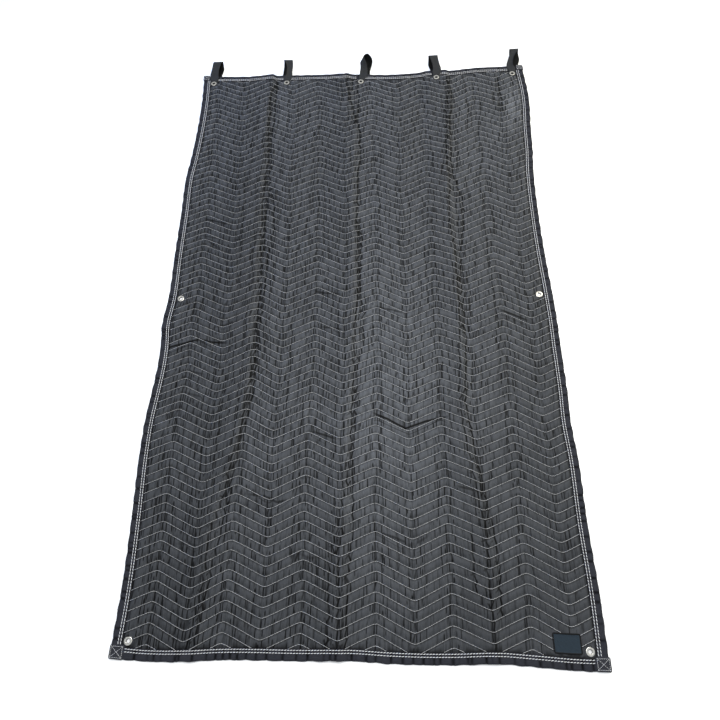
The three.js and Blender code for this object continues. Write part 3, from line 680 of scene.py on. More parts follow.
def panel_face(u, rng):
    """The face's rows from foot to head, as grids of v and w and the attributes that its material follows."""
    quilt, edge = settings().quilt, settings().edge
    puckers, lines = pucker_depths(u, rng), crease_lines(u, rng)
    rim, none = np.full_like(u, RIM["high"] * MM), np.zeros_like(u)
    uneven = rng.normal(0, PADDING_UNEVEN * MM, channel_count())
    rows = [(np.full_like(u, at), rim, none, none, none, none, none) for at in (RIM["inset"] * MM, edge.outer_row)]
    for channel in range(channel_count()):
        for share, padding in CHANNEL_STEPS:
            side = int(share > 0.5)
            beside, strength = (values[channel] for values in lines[side])
            pressed_in = strength * np.exp(-(beside / (CREASE_LINE["press"] * MM)) ** 2)
            pucker = padding * puckers[side][channel]
            w = quilt.valley + padding * (quilt.crown + uneven[channel] - quilt.valley)
            w = w - quilt.pucker * np.maximum(pucker, padding * pressed_in)
            row = channel + share
            rows.append((row_line(row, u), w, none + row, pucker, none + padding, beside, strength))
    rows += [(quilt.length - row[0], *row[1:]) for row in rows[1::-1]]
    v, w, channel, pucker, padding, beside, strength = (np.array([row[i] for row in rows]) for i in range(7))
    u = np.broadcast_to(u, v.shape)
    off, dark = cross_folds(u, v)
    w = w - padding * CROSS_FOLD["drop"] * MM * dark * np.exp(-(off / (CROSS_FOLD["spread"] * MM)) ** 2)
    return v, pressed(u, v, w), {
        "cloth": np.stack([u, channel, pucker], -1),
        "crease": np.stack([beside, strength, painted_shading(u, v)], -1),
        "crossing": np.stack([off, dark, drawn(u, v)], -1),
    }


def zip_loops(upper, lower):
    """Triangles between two closed loops, each a list of (place round the four sides, vertex number)."""
    faces = []
    i = j = 0
    whole = 4.0
    while i < len(upper) or j < len(lower):
        a, b = upper[i % len(upper)][1], lower[j % len(lower)][1]
        next_upper = upper[i + 1][0] if i + 1 < len(upper) else whole
        next_lower = lower[j + 1][0] if j + 1 < len(lower) else whole
        if j >= len(lower) or (i < len(upper) and next_upper <= next_lower):
            i += 1
            faces.append((b, upper[i % len(upper)][1], a))
        else:
            j += 1
            faces.append((b, lower[j % len(lower)][1], a))
    return faces


def rim_loop(u, v, numbers):
    """A grid's outer vertices, from its foot left corner to the right and round, with their place on the edge."""
    def share(values):
        values = np.asarray(values, float)
        return (values - values[0]) / (values[-1] - values[0])
    sides = [
        (share(u), numbers[0, :]),
        (share(v[:, -1]), numbers[:, -1]),
        (share(u[::-1]), numbers[-1, ::-1]),
        (share(v[::-1, 0]), numbers[::-1, 0]),
    ]
    loop = []
    for side, (at, number) in enumerate(sides):
        loop.extend((side + a, int(n)) for a, n in zip(at[:-1], number[:-1]))
    return loop


def grid_faces(numbers, flip):
    a, b = numbers[:-1, :-1].ravel(), numbers[:-1, 1:].ravel()
    c, d = numbers[1:, 1:].ravel(), numbers[1:, :-1].ravel()
    return (np.stack([a, d, c, b], 1) if flip else np.stack([a, b, c, d], 1)).tolist()


# Meshes

def mesh_piece(name, points, faces, **attributes):
    """New smooth object from points and faces, with the attributes that its material follows."""
    mesh = bpy.data.meshes.new(name)
    mesh.from_pydata(np.asarray(points).tolist(), [], faces)
    for attribute, values in attributes.items():
        data = mesh.attributes.new(attribute, "FLOAT_VECTOR", "POINT").data
        data.foreach_set("vector", np.asarray(values, np.float32).ravel())
    bm = bmesh.new()
    bm.from_mesh(mesh)
    bmesh.ops.remove_doubles(bm, verts=bm.verts, dist=1e-7)
    bmesh.ops.recalc_face_normals(bm, faces=bm.faces)
    bm.to_mesh(mesh)
    bm.free()
    mesh.shade_smooth()
    piece = bpy.data.objects.new(name, mesh)
    bpy.context.scene.collection.objects.link(piece)
    return piece


def loft(name, rings, closed=False, **attributes):
    """Solid through rings of equally many points, closed on itself or capped at both ends."""
    rings = np.asarray(rings)
    count, size = rings.shape[:2]
    faces = []
    for ring in range(count if closed else count - 1):
        after = (ring + 1) % count
        for i in range(size):
            j = (i + 1) % size
            faces.append((ring * size + i, ring * size + j, after * size + j, after * size + i))
    if not closed:
        faces.append(tuple(range(size)))
        faces.append(tuple(range((count - 1) * size, count * size)))
    return mesh_piece(name, rings.reshape(-1, 3), faces, **attributes)


def plain_mesh(piece):
    """Turns what a piece's modifiers make into its own plain mesh."""
    evaluated = piece.evaluated_get(bpy.context.evaluated_depsgraph_get())
    made = bpy.data.meshes.new_from_object(evaluated)
    piece.modifiers.clear()
    old, piece.data = piece.data, made
    made.name = piece.name
    bpy.data.meshes.remove(old)
    return piece


def bored(piece, centres, radius):
    """Cuts upright round holes through a piece."""
    sides, tall = 24, 0.06
    angles = np.arange(sides) * 2 * math.pi / sides
    points, faces = [], []
    for x, y, z in centres:
        start = len(points)
        for height in (z - tall, z + tall):
            points += [(x + radius * math.cos(a), y + radius * math.sin(a), height) for a in angles]
        for i in range(sides):
            j = (i + 1) % sides
            faces.append((start + i, start + j, start + sides + j, start + sides + i))
        faces.append(tuple(start + i for i in reversed(range(sides))))
        faces.append(tuple(start + sides + i for i in range(sides)))
    cutter = mesh_piece("cutter", points, faces)
    cut = piece.modifiers.new("bores", "BOOLEAN")
    cut.operation, cut.solver, cut.object = "DIFFERENCE", "MANIFOLD", cutter
    plain_mesh(piece)
    bpy.data.objects.remove(cutter)
    return piece


def fitted(piece, material, slot, *nodes):
    """Gives a piece its material and its place on the blanket."""
    if not any(piece.data.materials):
        piece.data.materials.clear()
        piece.data.materials.append(material)
    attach(piece, "root")
    if nodes:
        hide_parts(*nodes)
    return piece


# Stitches

def stitch_tree():
    """Geometry nodes that lay stitches end to end along lines."""
    name = "Stitches along lines"
    if name in bpy.data.node_groups:
        return bpy.data.node_groups[name]
    tree = bpy.data.node_groups.new(name, "GeometryNodeTree")
    wanted = [
        ("Lines", "NodeSocketGeometry"), ("Pitch", "NodeSocketFloat"), ("Length", "NodeSocketFloat"),
        ("Width", "NodeSocketFloat"), ("Height", "NodeSocketFloat"), ("Sides", "NodeSocketInt"),
        ("Rings", "NodeSocketInt"), ("Slant", "NodeSocketFloat"), ("Seed", "NodeSocketInt"),
        ("Thread", "NodeSocketMaterial"),
    ]
    for socket, kind in wanted:
        tree.interface.new_socket(socket, in_out="INPUT", socket_type=kind)
    tree.interface.new_socket("Stitches", in_out="OUTPUT", socket_type="NodeSocketGeometry")
    node = partial(add, tree)
    given = node("NodeGroupInput").outputs
    curve = node("GeometryNodeMeshToCurve", {"Mesh": given["Lines"]})
    points = node("GeometryNodeCurveToPoints", {"Curve": curve, "Length": given["Pitch"]}, mode="LENGTH")
    lie = node("FunctionNodeAlignRotationToVector", {"Vector": points.outputs["Tangent"]}, axis="Z")
    face_up = node("FunctionNodeAlignRotationToVector", {"Rotation": lie, "Vector": (0, 0, 1)},
                   axis="Y", pivot_axis="Z")
    # No two stitches lie quite alike
    uneven = node("FunctionNodeRandomValue",
                  {"Min": (-0.05, -0.09, 0), "Max": (0.05, 0.09, 0), "Seed": given["Seed"]}, data_type="FLOAT_VECTOR")
    slant = node("ShaderNodeCombineXYZ", {"Y": given["Slant"]})
    skew = node("ShaderNodeVectorMath", {0: uneven, 1: slant}, operation="ADD")
    turn = node("FunctionNodeRotateRotation", {"Rotation": face_up, "Rotate By": skew}, rotation_space="LOCAL")
    stitch = node("GeometryNodeMeshUVSphere", {"Segments": given["Sides"], "Rings": given["Rings"], "Radius": 0.5})
    scale = node("ShaderNodeCombineXYZ", {"X": given["Width"], "Y": given["Height"], "Z": given["Length"]})
    laid = node("GeometryNodeInstanceOnPoints", {
        "Points": points.outputs["Points"], "Instance": stitch, "Rotation": turn, "Scale": scale})
    real = node("GeometryNodeRealizeInstances", {"Geometry": laid})
    smooth = node("GeometryNodeSetShadeSmooth", {0: real})
    thread = node("GeometryNodeSetMaterial", {"Geometry": smooth, "Material": given["Thread"]})
    node("NodeGroupOutput", {"Stitches": thread})
    return tree


def stitched(name, lines, thread, **sizes):
    """One piece of stitches along lines of frame points."""
    points, edges = [], []
    for line in lines:
        start = len(points)
        points.extend(np.asarray(line).tolist())
        edges.extend((start + i, start + i + 1) for i in range(len(line) - 1))
    mesh = bpy.data.meshes.new(name)
    mesh.from_pydata(points, edges, [])
    piece = bpy.data.objects.new(name, mesh)
    bpy.context.scene.collection.objects.link(piece)
    tree = stitch_tree()
    sewing = piece.modifiers.new("stitches", "NODES")
    sewing.node_group = tree
    values = {"Slant": 0.0, "Seed": settings().quilt.seed, "Thread": thread, **sizes}
    for socket in tree.interface.items_tree:
        if socket.in_out == "INPUT" and socket.name in values:
            sewing[socket.identifier] = values[socket.name]
    return plain_mesh(piece)


def runs(points, keep):
    """Unbroken runs of a line's kept points, but for the shortest ones."""
    found, run = [], []
    for point, kept in zip(points, keep):
        if kept:
            run.append(point)
        elif run:
            found.append(run)
            run = []
    found.append(run)
    return [run for run in found if len(run) > SHORTEST_RUN]


# Materials

def add(tree, kind, inputs=None, **options):
    """Adds a node with its options set, and its inputs given a value or linked to a socket or a node's first output."""
    node = tree.nodes.new(kind)
    for option, value in options.items():
        setattr(node, option, value)
    for name, value in (inputs or {}).items():
        if isinstance(value, bpy.types.Node):
            value = value.outputs[0]
        if isinstance(value, bpy.types.NodeSocket):
            tree.links.new(value, node.inputs[name])
        else:
            node.inputs[name].default_value = value
    return node


def shader(name, **values):
    """New material with a Principled shader, and its node tree."""
    material = bpy.data.materials.new(name)
    material.use_nodes = True
    principled = material.node_tree.nodes["Principled BSDF"]
    for socket, value in values.items():
        principled.inputs[socket.replace("_", " ")].default_value = value
    return material, material.node_tree, principled


def cover_cloth():
    """Woven polyester cover cloth: satin gloss, drawn into fine puckers by its stitches, painted shade in its folds."""
    material, tree, principled = shader("woven cover cloth", Roughness=0.6, Specular_IOR_Level=0.08)
    node = partial(add, tree)
    cloth = node("ShaderNodeAttribute", attribute_name="cloth").outputs["Vector"]
    across, row, pucker = node("ShaderNodeSeparateXYZ", {0: cloth}).outputs
    crease = node("ShaderNodeAttribute", attribute_name="crease").outputs["Vector"]
    beside_crease, crease_dark, painted_tone = node("ShaderNodeSeparateXYZ", {0: crease}).outputs
    crossing = node("ShaderNodeAttribute", attribute_name="crossing").outputs["Vector"]
    beside_fold, fold_dark, tight = node("ShaderNodeSeparateXYZ", {0: crossing}).outputs
    channel = node("ShaderNodeMath", {0: row}, operation="FLOOR")
    share = node("ShaderNodeMath", {0: row}, operation="FRACT")
    # Towards the head the painted shade of its puckers is fainter and the creases' painted shade lines broader
    rows = channel_count()
    finer, broader = (
        node("ShaderNodeMapRange", {
            "Value": channel, "From Min": rows / 3, "From Max": rows, "To Min": 1.0, "To Max": least})
        for least in (0.3, 0.65))
    pucker = node("ShaderNodeMath", {0: pucker, 1: finer}, operation="MULTIPLY")
    beside_crease = node("ShaderNodeMath", {0: beside_crease, 1: broader}, operation="MULTIPLY")

    # Fine puckers painted as shade lines, about 11 mm apart and 2 mm wide, new in every channel, and others
    # 22 mm apart that run on from row to row in loose columns; each has its own place and length across the channel
    slip = node("ShaderNodeMath", {0: channel, 1: 17.31}, operation="MULTIPLY")
    wander = node("ShaderNodeTexNoise", {"W": channel, "Scale": 0.23, "Detail": 1.0}, noise_dimensions="1D")
    creases = []
    for apart, shift, wide in ((11 * MM, slip, 0.19), (22 * MM, wander, 0.11)):
        along = node("ShaderNodeMath", {0: across, 1: 1 / apart, 2: shift}, operation="MULTIPLY_ADD")
        spots = node("ShaderNodeTexVoronoi", {"W": along, "Scale": 1.0}, voronoi_dimensions="1D")
        spot = node("ShaderNodeCombineXYZ", {"X": spots.outputs["W"], "Y": channel})
        chance = node("ShaderNodeTexWhiteNoise", {"Vector": spot}, noise_dimensions="2D").outputs["Color"]
        depth, middle, length = node("ShaderNodeSeparateColor", {0: chance}).outputs
        line = node("ShaderNodeMapRange", {
            "Value": spots.outputs["Distance"], "From Min": 0.3 * wide, "From Max": wide, "To Min": 1.0, "To Max": 0.0},
            interpolation_type="SMOOTHSTEP")
        away = node("ShaderNodeMath", {0: node("ShaderNodeMath", {0: share, 1: middle}, operation="SUBTRACT")},
                    operation="ABSOLUTE")
        inside = node("ShaderNodeMath", {0: length, 1: away}, operation="SUBTRACT")
        reach = node("ShaderNodeMapRange", {"Value": inside, "From Min": -0.3, "From Max": -0.1})
        # How tightly the stitches draw the cloth sets how dark each pucker's painted shade is
        depth = node("ShaderNodeMath", {0: depth, 1: tight}, operation="MULTIPLY")
        strong = node("ShaderNodeMapRange", {"Value": depth, "From Min": 0.33, "From Max": 0.8})
        strong = node("ShaderNodeMath", {0: strong, 1: reach}, operation="MULTIPLY")
        creases.append(node("ShaderNodeMath", {0: strong, 1: line}, operation="MULTIPLY"))
    ticks = node("ShaderNodeMath", {0: creases[0], 1: creases[1]}, operation="MAXIMUM")

    # Soft gathers 6 mm apart, different in each channel and strongest beside its stitches, painted as light and shade
    along = node("ShaderNodeMath", {0: across, 1: 1 / (6 * MM)}, operation="MULTIPLY")
    lane = node("ShaderNodeMath", {0: channel, 1: 7.3}, operation="MULTIPLY")
    at = node("ShaderNodeCombineXYZ", {"X": along, "Y": lane, "Z": share})
    gathers = node("ShaderNodeTexNoise", {"Vector": at, "Scale": 1.0, "Detail": 2.0})
    gathers = node("ShaderNodeMapRange", {
        "Value": gathers, "From Min": 0.36, "From Max": 0.6, "To Min": -1.0, "To Max": 1.0})
    middle = node("ShaderNodeMath", {0: share, 1: 0.5}, operation="SUBTRACT")
    beside = node("ShaderNodeMath", {0: middle}, operation="ABSOLUTE")
    beside = node("ShaderNodeMapRange", {"Value": beside, "From Min": 0.1, "From Max": 0.5, "To Min": 0.45})
    beside = node("ShaderNodeMath", {0: beside, 1: tight}, operation="MULTIPLY")
    crimp = node("ShaderNodeMath", {0: gathers, 1: beside}, operation="MULTIPLY")
    # On the head side of each row of stitches the cloth dips out of the light, the more the farther from the foot
    hollow = node("ShaderNodeMapRange", {
        "Value": share, "From Min": 0.12, "From Max": 0.34, "To Min": 1.0, "To Max": 0.0})
    deeper = node("ShaderNodeMapRange", {
        "Value": channel, "From Max": rows / 2, "To Min": 0.0, "To Max": 0.38})
    hollow = node("ShaderNodeMath", {0: hollow, 1: deeper}, operation="MULTIPLY")

    place = node("ShaderNodeTexCoord").outputs["Object"]
    # Fading in patches about 120 mm across
    patches = node("ShaderNodeTexNoise", {"Vector": place, "Scale": 1 / 0.12, "Detail": 2.0})
    # Weave drawn at 2 mm, coarser than the real threads so that it shows
    weave = node("ShaderNodeTexNoise", {"Vector": place, "Scale": 1 / (2 * MM), "Detail": 1.0})
    # Painted shade lines along the creases and the cross folds
    lines = []
    for beside, strength, sizes in (
        (beside_crease, crease_dark, CREASE_LINE), (beside_fold, fold_dark, CROSS_FOLD),
    ):
        away = node("ShaderNodeMath", {0: beside}, operation="ABSOLUTE")
        core, soft = sizes["core"] * MM, sizes["soft"] * MM
        line = node("ShaderNodeMapRange", {
            "Value": away, "From Min": core, "From Max": soft, "To Min": 1.0, "To Max": 0.0},
            interpolation_type="SMOOTHSTEP")
        lines.append(node("ShaderNodeMath", {0: line, 1: strength}, operation="MULTIPLY"))

    # Starts from the painted highlights and shade of the patches, the creases' sides and the binding's shadow
    shade = painted_tone
    # Each row darkens or lightens the cloth from one tone to another between two values
    for value, low, high, tone_low, tone_high in (
        # painted light and shade on the gathers
        (crimp, -1.0, 1.0, 0.74, 1.22),
        # painted shade in the fine puckers
        (ticks, 0.0, 1.0, 1.0, 0.1),
        # painted shade in the mesh's puckers
        (pucker, 0.0, 1.0, 1.0, 0.14),
        # painted shade line along each crease
        (lines[0], 0.0, 1.0, 1.0, 0.04),
        # painted shade line along each cross fold
        (lines[1], 0.0, 1.0, 1.0, 0.03),
        (hollow, 0.0, 1.0, 1.0, 0.0),
        # painted shade on the foot side of each row of stitches
        (share, 0.76, 0.95, 1.0, 0.48),
        # painted shade just on the head side of each row of stitches
        (share, 0.0, 0.1, 0.78, 1.0),
        (patches, 0.3, 0.7, 0.93, 1.07),
        (weave, 0.3, 0.7, 0.87, 1.13),
    ):
        tone = node("ShaderNodeMapRange", {
            "Value": value, "From Min": low, "From Max": high, "To Min": tone_low, "To Max": tone_high})
        shade = node("ShaderNodeMath", {0: shade, 1: tone}, operation="MULTIPLY")
    dye(tree, principled, settings().colours.cloth, shade)
    height = node("ShaderNodeMath", {0: weave, 1: 0.5, 2: crimp}, operation="MULTIPLY_ADD")
    height = node("ShaderNodeMath", {0: ticks, 1: -1.6, 2: height}, operation="MULTIPLY_ADD")
    bump = node("ShaderNodeBump", {"Strength": 0.6, "Distance": 0.6 * MM, "Height": height})
    tree.links.new(bump.outputs[0], principled.inputs["Normal"])
    return material


def dye(tree, principled, base, shade):
    """Gives a shader its base colour, lighter or darker by a shade."""
    dyed = add(tree, "ShaderNodeMix", {0: 1.0, 6: base, 7: shade}, data_type="RGBA", blend_type="MULTIPLY")
    tree.links.new(dyed.outputs[2], principled.inputs["Base Color"])


def ribbed_cloth(name, base, rib, contrast, fold, **values):
    """Tape or webbing: ribs along its length at a spacing, noise from thread to thread, painted shade in its folds and
    gathers.
    """
    material, tree, principled = shader(name, **values)
    node = partial(add, tree)
    cloth = node("ShaderNodeAttribute", attribute_name="cloth").outputs["Vector"]
    along, depth = node("ShaderNodeSeparateXYZ", {0: cloth}).outputs[1:]
    turns = node("ShaderNodeMath", {0: along, 1: 2 * math.pi / rib}, operation="MULTIPLY")
    ribs = node("ShaderNodeMath", {0: turns}, operation="SINE")
    # Threads about 9 mm long before they dip under others
    at = node("ShaderNodeVectorMath", {0: cloth, 1: (1 / (9 * MM), 1 / rib, 1)}, operation="MULTIPLY")
    threads = node("ShaderNodeTexNoise", {"Vector": at, "Scale": 1.0, "Detail": 3.0})
    light = node("ShaderNodeMapRange", {
        "Value": ribs, "From Min": -1.0, "From Max": 1.0, "To Min": 1 - contrast, "To Max": 1 + contrast})
    tone = node("ShaderNodeMapRange", {
        "Value": threads, "From Min": 0.3, "From Max": 0.7, "To Min": 0.82, "To Max": 1.18})
    # Painted shade where the cloth attribute marks a fold
    folded = node("ShaderNodeMapRange", {"Value": depth, "To Min": 1.0, "To Max": fold})
    shade = light
    for factor in (tone, folded):
        shade = node("ShaderNodeMath", {0: shade, 1: factor}, operation="MULTIPLY")
    dye(tree, principled, base, shade)
    bump = node("ShaderNodeBump", {"Strength": 0.4, "Distance": 0.3 * MM, "Height": ribs})
    tree.links.new(bump.outputs[0], principled.inputs["Normal"])
    return material


def mottled(name, base, grain, contrast, **values):
    """Plain surface whose tone varies a little at the size of its grain."""
    material, tree, principled = shader(name, **values)
    place = add(tree, "ShaderNodeTexCoord").outputs["Object"]
    specks = add(tree, "ShaderNodeTexNoise", {"Vector": place, "Scale": 1 / grain, "Detail": 3.0})
    tone = add(tree, "ShaderNodeMapRange", {
        "Value": specks, "From Min": 0.3, "From Max": 0.7, "To Min": 1 - contrast, "To Max": 1 + contrast})
    dye(tree, principled, base, tone)
    return material


def nickel_plate():
    """Nickel plated brass, pressed and tumbled: bright, slightly warm, finely scuffed, painted shade down its bore."""
    material, tree, principled = shader("nickel plated brass", Metallic=1.0)
    node = partial(add, tree)
    place = node("ShaderNodeTexCoord").outputs["Object"]
    scuffs = node("ShaderNodeTexNoise", {"Vector": place, "Scale": 1 / (3 * MM), "Detail": 4.0})
    dull = node("ShaderNodeMapRange", {
        "Value": scuffs, "From Min": 0.35, "From Max": 0.65, "To Min": 0.22, "To Max": 0.4})
    tree.links.new(dull.outputs[0], principled.inputs["Roughness"])
    cloth = node("ShaderNodeAttribute", attribute_name="cloth").outputs["Vector"]
    bore = node("ShaderNodeSeparateXYZ", {0: cloth}).outputs["Z"]
    # Painted shade down the bore
    painted_bore_shade = node("ShaderNodeMapRange", {"Value": bore, "To Min": 1.0, "To Max": 0.05})
    dye(tree, principled, settings().colours.nickel, painted_bore_shade)
    return material


# Operators

class BLANKET_OT_panel(bpy.types.Operator):
    """Quilted cloth with its zigzag channels, puckers, creases and cross folds"""

    bl_idname = "blanket.panel"
    bl_label = "Quilted panel"

    def execute(self, context):
        quilt = settings().quilt
        rng = np.random.default_rng(quilt.seed)
        edge = quilt.width / 2 - RIM["inset"] * MM
        u = np.linspace(-edge, edge, PANEL_COLUMNS)
        v, w, attributes = panel_face(u, rng)
        face = lay(np.broadcast_to(u, v.shape), v, w)
        under_u = np.linspace(-edge, edge, UNDER_COLUMNS)
        under_v = np.linspace(v[0, 0], v[-1, 0], UNDER_ROWS)
        grid_u, grid_v = np.meshgrid(under_u, under_v)
        binding = settings().edge.width
        thin = 1 - ramp(from_edge(grid_u, grid_v), binding, binding + RIM["slope"] * MM)
        under = lay(grid_u, grid_v, RIM["low"] * MM * thin)
        top = np.arange(v.size).reshape(v.shape)
        low = v.size + np.arange(grid_u.size).reshape(grid_u.shape)
        faces = grid_faces(top, False) + grid_faces(low, True)
        faces += zip_loops(rim_loop(u, v, top), rim_loop(under_u, grid_v, low))
        under_row = (grid_v - quilt.first_row - row_rise(grid_u, grid_v) - zigzag(grid_u, grid_v)) / quilt.pitch
        plain = np.zeros_like(grid_u)
        below = {
            "cloth": np.stack([grid_u, under_row, plain], -1),
            "crease": np.stack([plain, plain, painted_shading(grid_u, grid_v)], -1),
            "crossing": np.stack([plain, plain, drawn(grid_u, grid_v)], -1),
        }
        attributes = {name: np.concatenate([values.reshape(-1, 3), below[name].reshape(-1, 3)])
                      for name, values in attributes.items()}
        points = np.concatenate([face.reshape(-1, 3), under.reshape(-1, 3)])
        panel = mesh_piece("quilted_panel", points, faces, **attributes)
        centres = [sum(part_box(name), Vector()) / 2 for name in eyelet_places()]
        bored(panel, centres, settings().fittings.bore + BORE_SLACK * MM)
        fitted(panel, cover_cloth(), "quilted_cloth", "quilted_field", "band_left", "band_right", "band_head")
        return {"FINISHED"}


class BLANKET_OT_quilting(bpy.types.Operator):
    """Rows of zigzag quilting stitches"""

    bl_idname = "blanket.quilting"
    bl_label = "Quilting stitches"

    def execute(self, context):
        quilt, edge = settings().quilt, settings().edge
        # Spun polyester thread: matt, its tone changing from stitch to stitch
        thread = mottled("quilting thread", settings().colours.quilting, 9 * MM, 0.18, Roughness=0.7)
        u = np.linspace(-quilt.width / 2, quilt.width / 2, QUILTING["points"])
        halves = {"quilting_foot": [], "quilting_head": []}
        for row in range(channel_count()):
            v = row_line(row, u)
            keep = (from_edge(u, v) > edge.width + MM) & (label_distance(u, v) > MM)
            for at_u, at_v in eyelet_places().values():
                keep &= np.hypot(u - at_u, v - at_v) > settings().fittings.flange + QUILTING["clear"] * MM
            w = pressed(u, v, np.full_like(u, quilt.valley)) + QUILTING["lift"] * MM
            half = "quilting_foot" if row < channel_count() / 2 else "quilting_head"
            halves[half] += runs(lay(u, v, w), keep)
        for name, lines in halves.items():
            # The stitches stand a little prouder on the half at the head
            size = quilt.thread * (QUILTING["at_head"] if name == "quilting_head" else 1)
            sewing = stitched(name, lines, thread, Pitch=quilt.stitch, Length=quilt.stitch * QUILTING["length"],
                              Width=size, Height=size * QUILTING["height"], Sides=4, Rings=3)
            fitted(sewing, thread, "quilted_cloth")
        return {"FINISHED"}


class BLANKET_OT_binding(bpy.types.Operator):
    """Folded tape round the four edges, gathered by its sewing"""

    bl_idname = "blanket.binding"
    bl_label = "Binding"

    def execute(self, context):
        quilt, edge = settings().quilt, settings().edge
        # Woven polyester tape: close ribs along its length, painted shade where it gathers
        tape = ribbed_cloth("woven binding tape", settings().colours.tape, 2.6 * MM, 0.08, 0.03, Roughness=0.8,
                            Specular_IOR_Level=0.04)
        share, height, give = np.array(BINDING_SECTION).T
        for number, side in enumerate(("foot", "head", "left", "right")):
            rng = np.random.default_rng((quilt.seed, number))
            start, end = -quilt.width / 2, quilt.width / 2
            if side in ("left", "right"):
                start, end = edge.width + BINDING["gap"] * MM, quilt.length - edge.width - BINDING["gap"] * MM
            along = np.linspace(start, end, round((end - start) / (BINDING["step"] * MM)))[:, None]
            pinch = gathers(along[:, 0], rng)[:, None]
            waver = EDGE_WAVER["size"] * MM * np.sin(2 * math.pi * along / (EDGE_WAVER["length"] * MM) + number)
            waver = waver * np.sin(2 * math.pi * along / (EDGE_WAVER["beat"] * EDGE_WAVER["length"] * MM))
            # A gather draws in the fold's outer edge
            inset = share * edge.width + waver * (1 - share) + GATHER["draw"] * pinch * (share < 0.1)
            w = height * edge.top - pinch * give
            rings = lay(*edge_place(side, along + 0 * inset, inset), w)
            # Painted shade in each gather, over the tape's top and fold
            dark = np.minimum(pinch / (GATHER["dark"] * MM), 1) * give
            cloth = np.stack([along + 0 * inset, inset, dark], -1)
            binding = loft(f"tape_{side}", rings, cloth=cloth.reshape(-1, 3))
            fitted(binding, tape, "binding_tape", f"binding_{side}")
        return {"FINISHED"}


def gathers(along, rng):
    """Depth of the small gathers along an edge."""
    places = along[0] + np.cumsum(rng.uniform(GATHER["near"], GATHER["far"], GATHER["most"])) * MM
    depth = rng.uniform(GATHER["shallow"], GATHER["deep"], GATHER["most"]) * MM
    off = (along[:, None] - places) / (GATHER["width"] * MM)
    return (depth * np.exp(-off * off)).max(axis=1)


def stitch_span(side):
    """Where the stitches along an edge start and end, clear of the corner patches."""
    half, length = settings().quilt.width / 2, settings().quilt.length
    if side in ("left", "right"):
        corners, way, low, high = (f"corner_foot_{side}", f"corner_head_{side}"), "along", 0, length
    else:
        corners, way, low, high = (f"corner_{side}_left", f"corner_{side}_right"), "across", -half, half
    near, far = ((CORNERS[name][way][1] + PATCH["gap"]) * MM for name in corners)
    return low + near, high - far


class BLANKET_OT_edging(bpy.types.Operator):
    """Two rows of stitches along each edge"""

    bl_idname = "blanket.edging"
    bl_label = "Edge stitches"

    def execute(self, context):
        edge, fittings = settings().edge, settings().fittings
        # Heavy off-white twisted thread: soft gloss, shaded between its plies
        thread = mottled("twisted edge thread", settings().colours.edging, 3 * MM, 0.12, Roughness=0.55)
        for side in ("foot", "head", "left", "right"):
            start, end = stitch_span(side)
            along = np.linspace(start, end, round((end - start) / (EDGING["step"] * MM)))
            lines = []
            for inset in (edge.outer_row, edge.inner_row):
                u, v = edge_place(side, along, np.full_like(along, inset))
                keep = np.ones(len(along), bool)
                if side == "head":
                    for eyelet in HEAD_EYELETS:
                        keep &= np.abs(u - eyelet * MM) > fittings.webbing / 2 - EDGING["under_strap"] * MM
                lines += runs(lay(u, v, EDGING["seat"] * edge.top), keep)
            sewing = stitched(
                f"edge_stitches_{side}", lines, thread, Pitch=edge.stitch, Length=edge.stitch * EDGING["length"],
                Width=edge.thread, Height=edge.thread * EDGING["height"], Sides=6, Rings=5, Slant=EDGING["slant"])
            fitted(sewing, thread, "binding_tape")
        return {"FINISHED"}


def rounded_outline(width, height, corner, inset):
    """Outline of a rectangle with round corners, drawn in by a distance, as points round its middle."""
    radius = max(corner - inset, OUTLINE["tightest"] * MM)
    points = []
    for turn, (right, up) in enumerate(((1, 1), (-1, 1), (-1, -1), (1, -1))):
        middle = np.array([right * (width / 2 - inset - radius), up * (height / 2 - inset - radius)])
        for angle in (turn + np.linspace(0, 1, OUTLINE["corner"])) * math.pi / 2:
            points.append(middle + radius * np.array([math.cos(angle), math.sin(angle)]))
    points = np.array(points + points[:1])
    run = np.concatenate([[0], np.cumsum(np.hypot(*np.diff(points, axis=0).T))])
    at = np.linspace(0, run[-1], OUTLINE["points"] + 1)[:-1]
    return np.stack([np.interp(at, run, points[:, 0]), np.interp(at, run, points[:, 1])], -1)


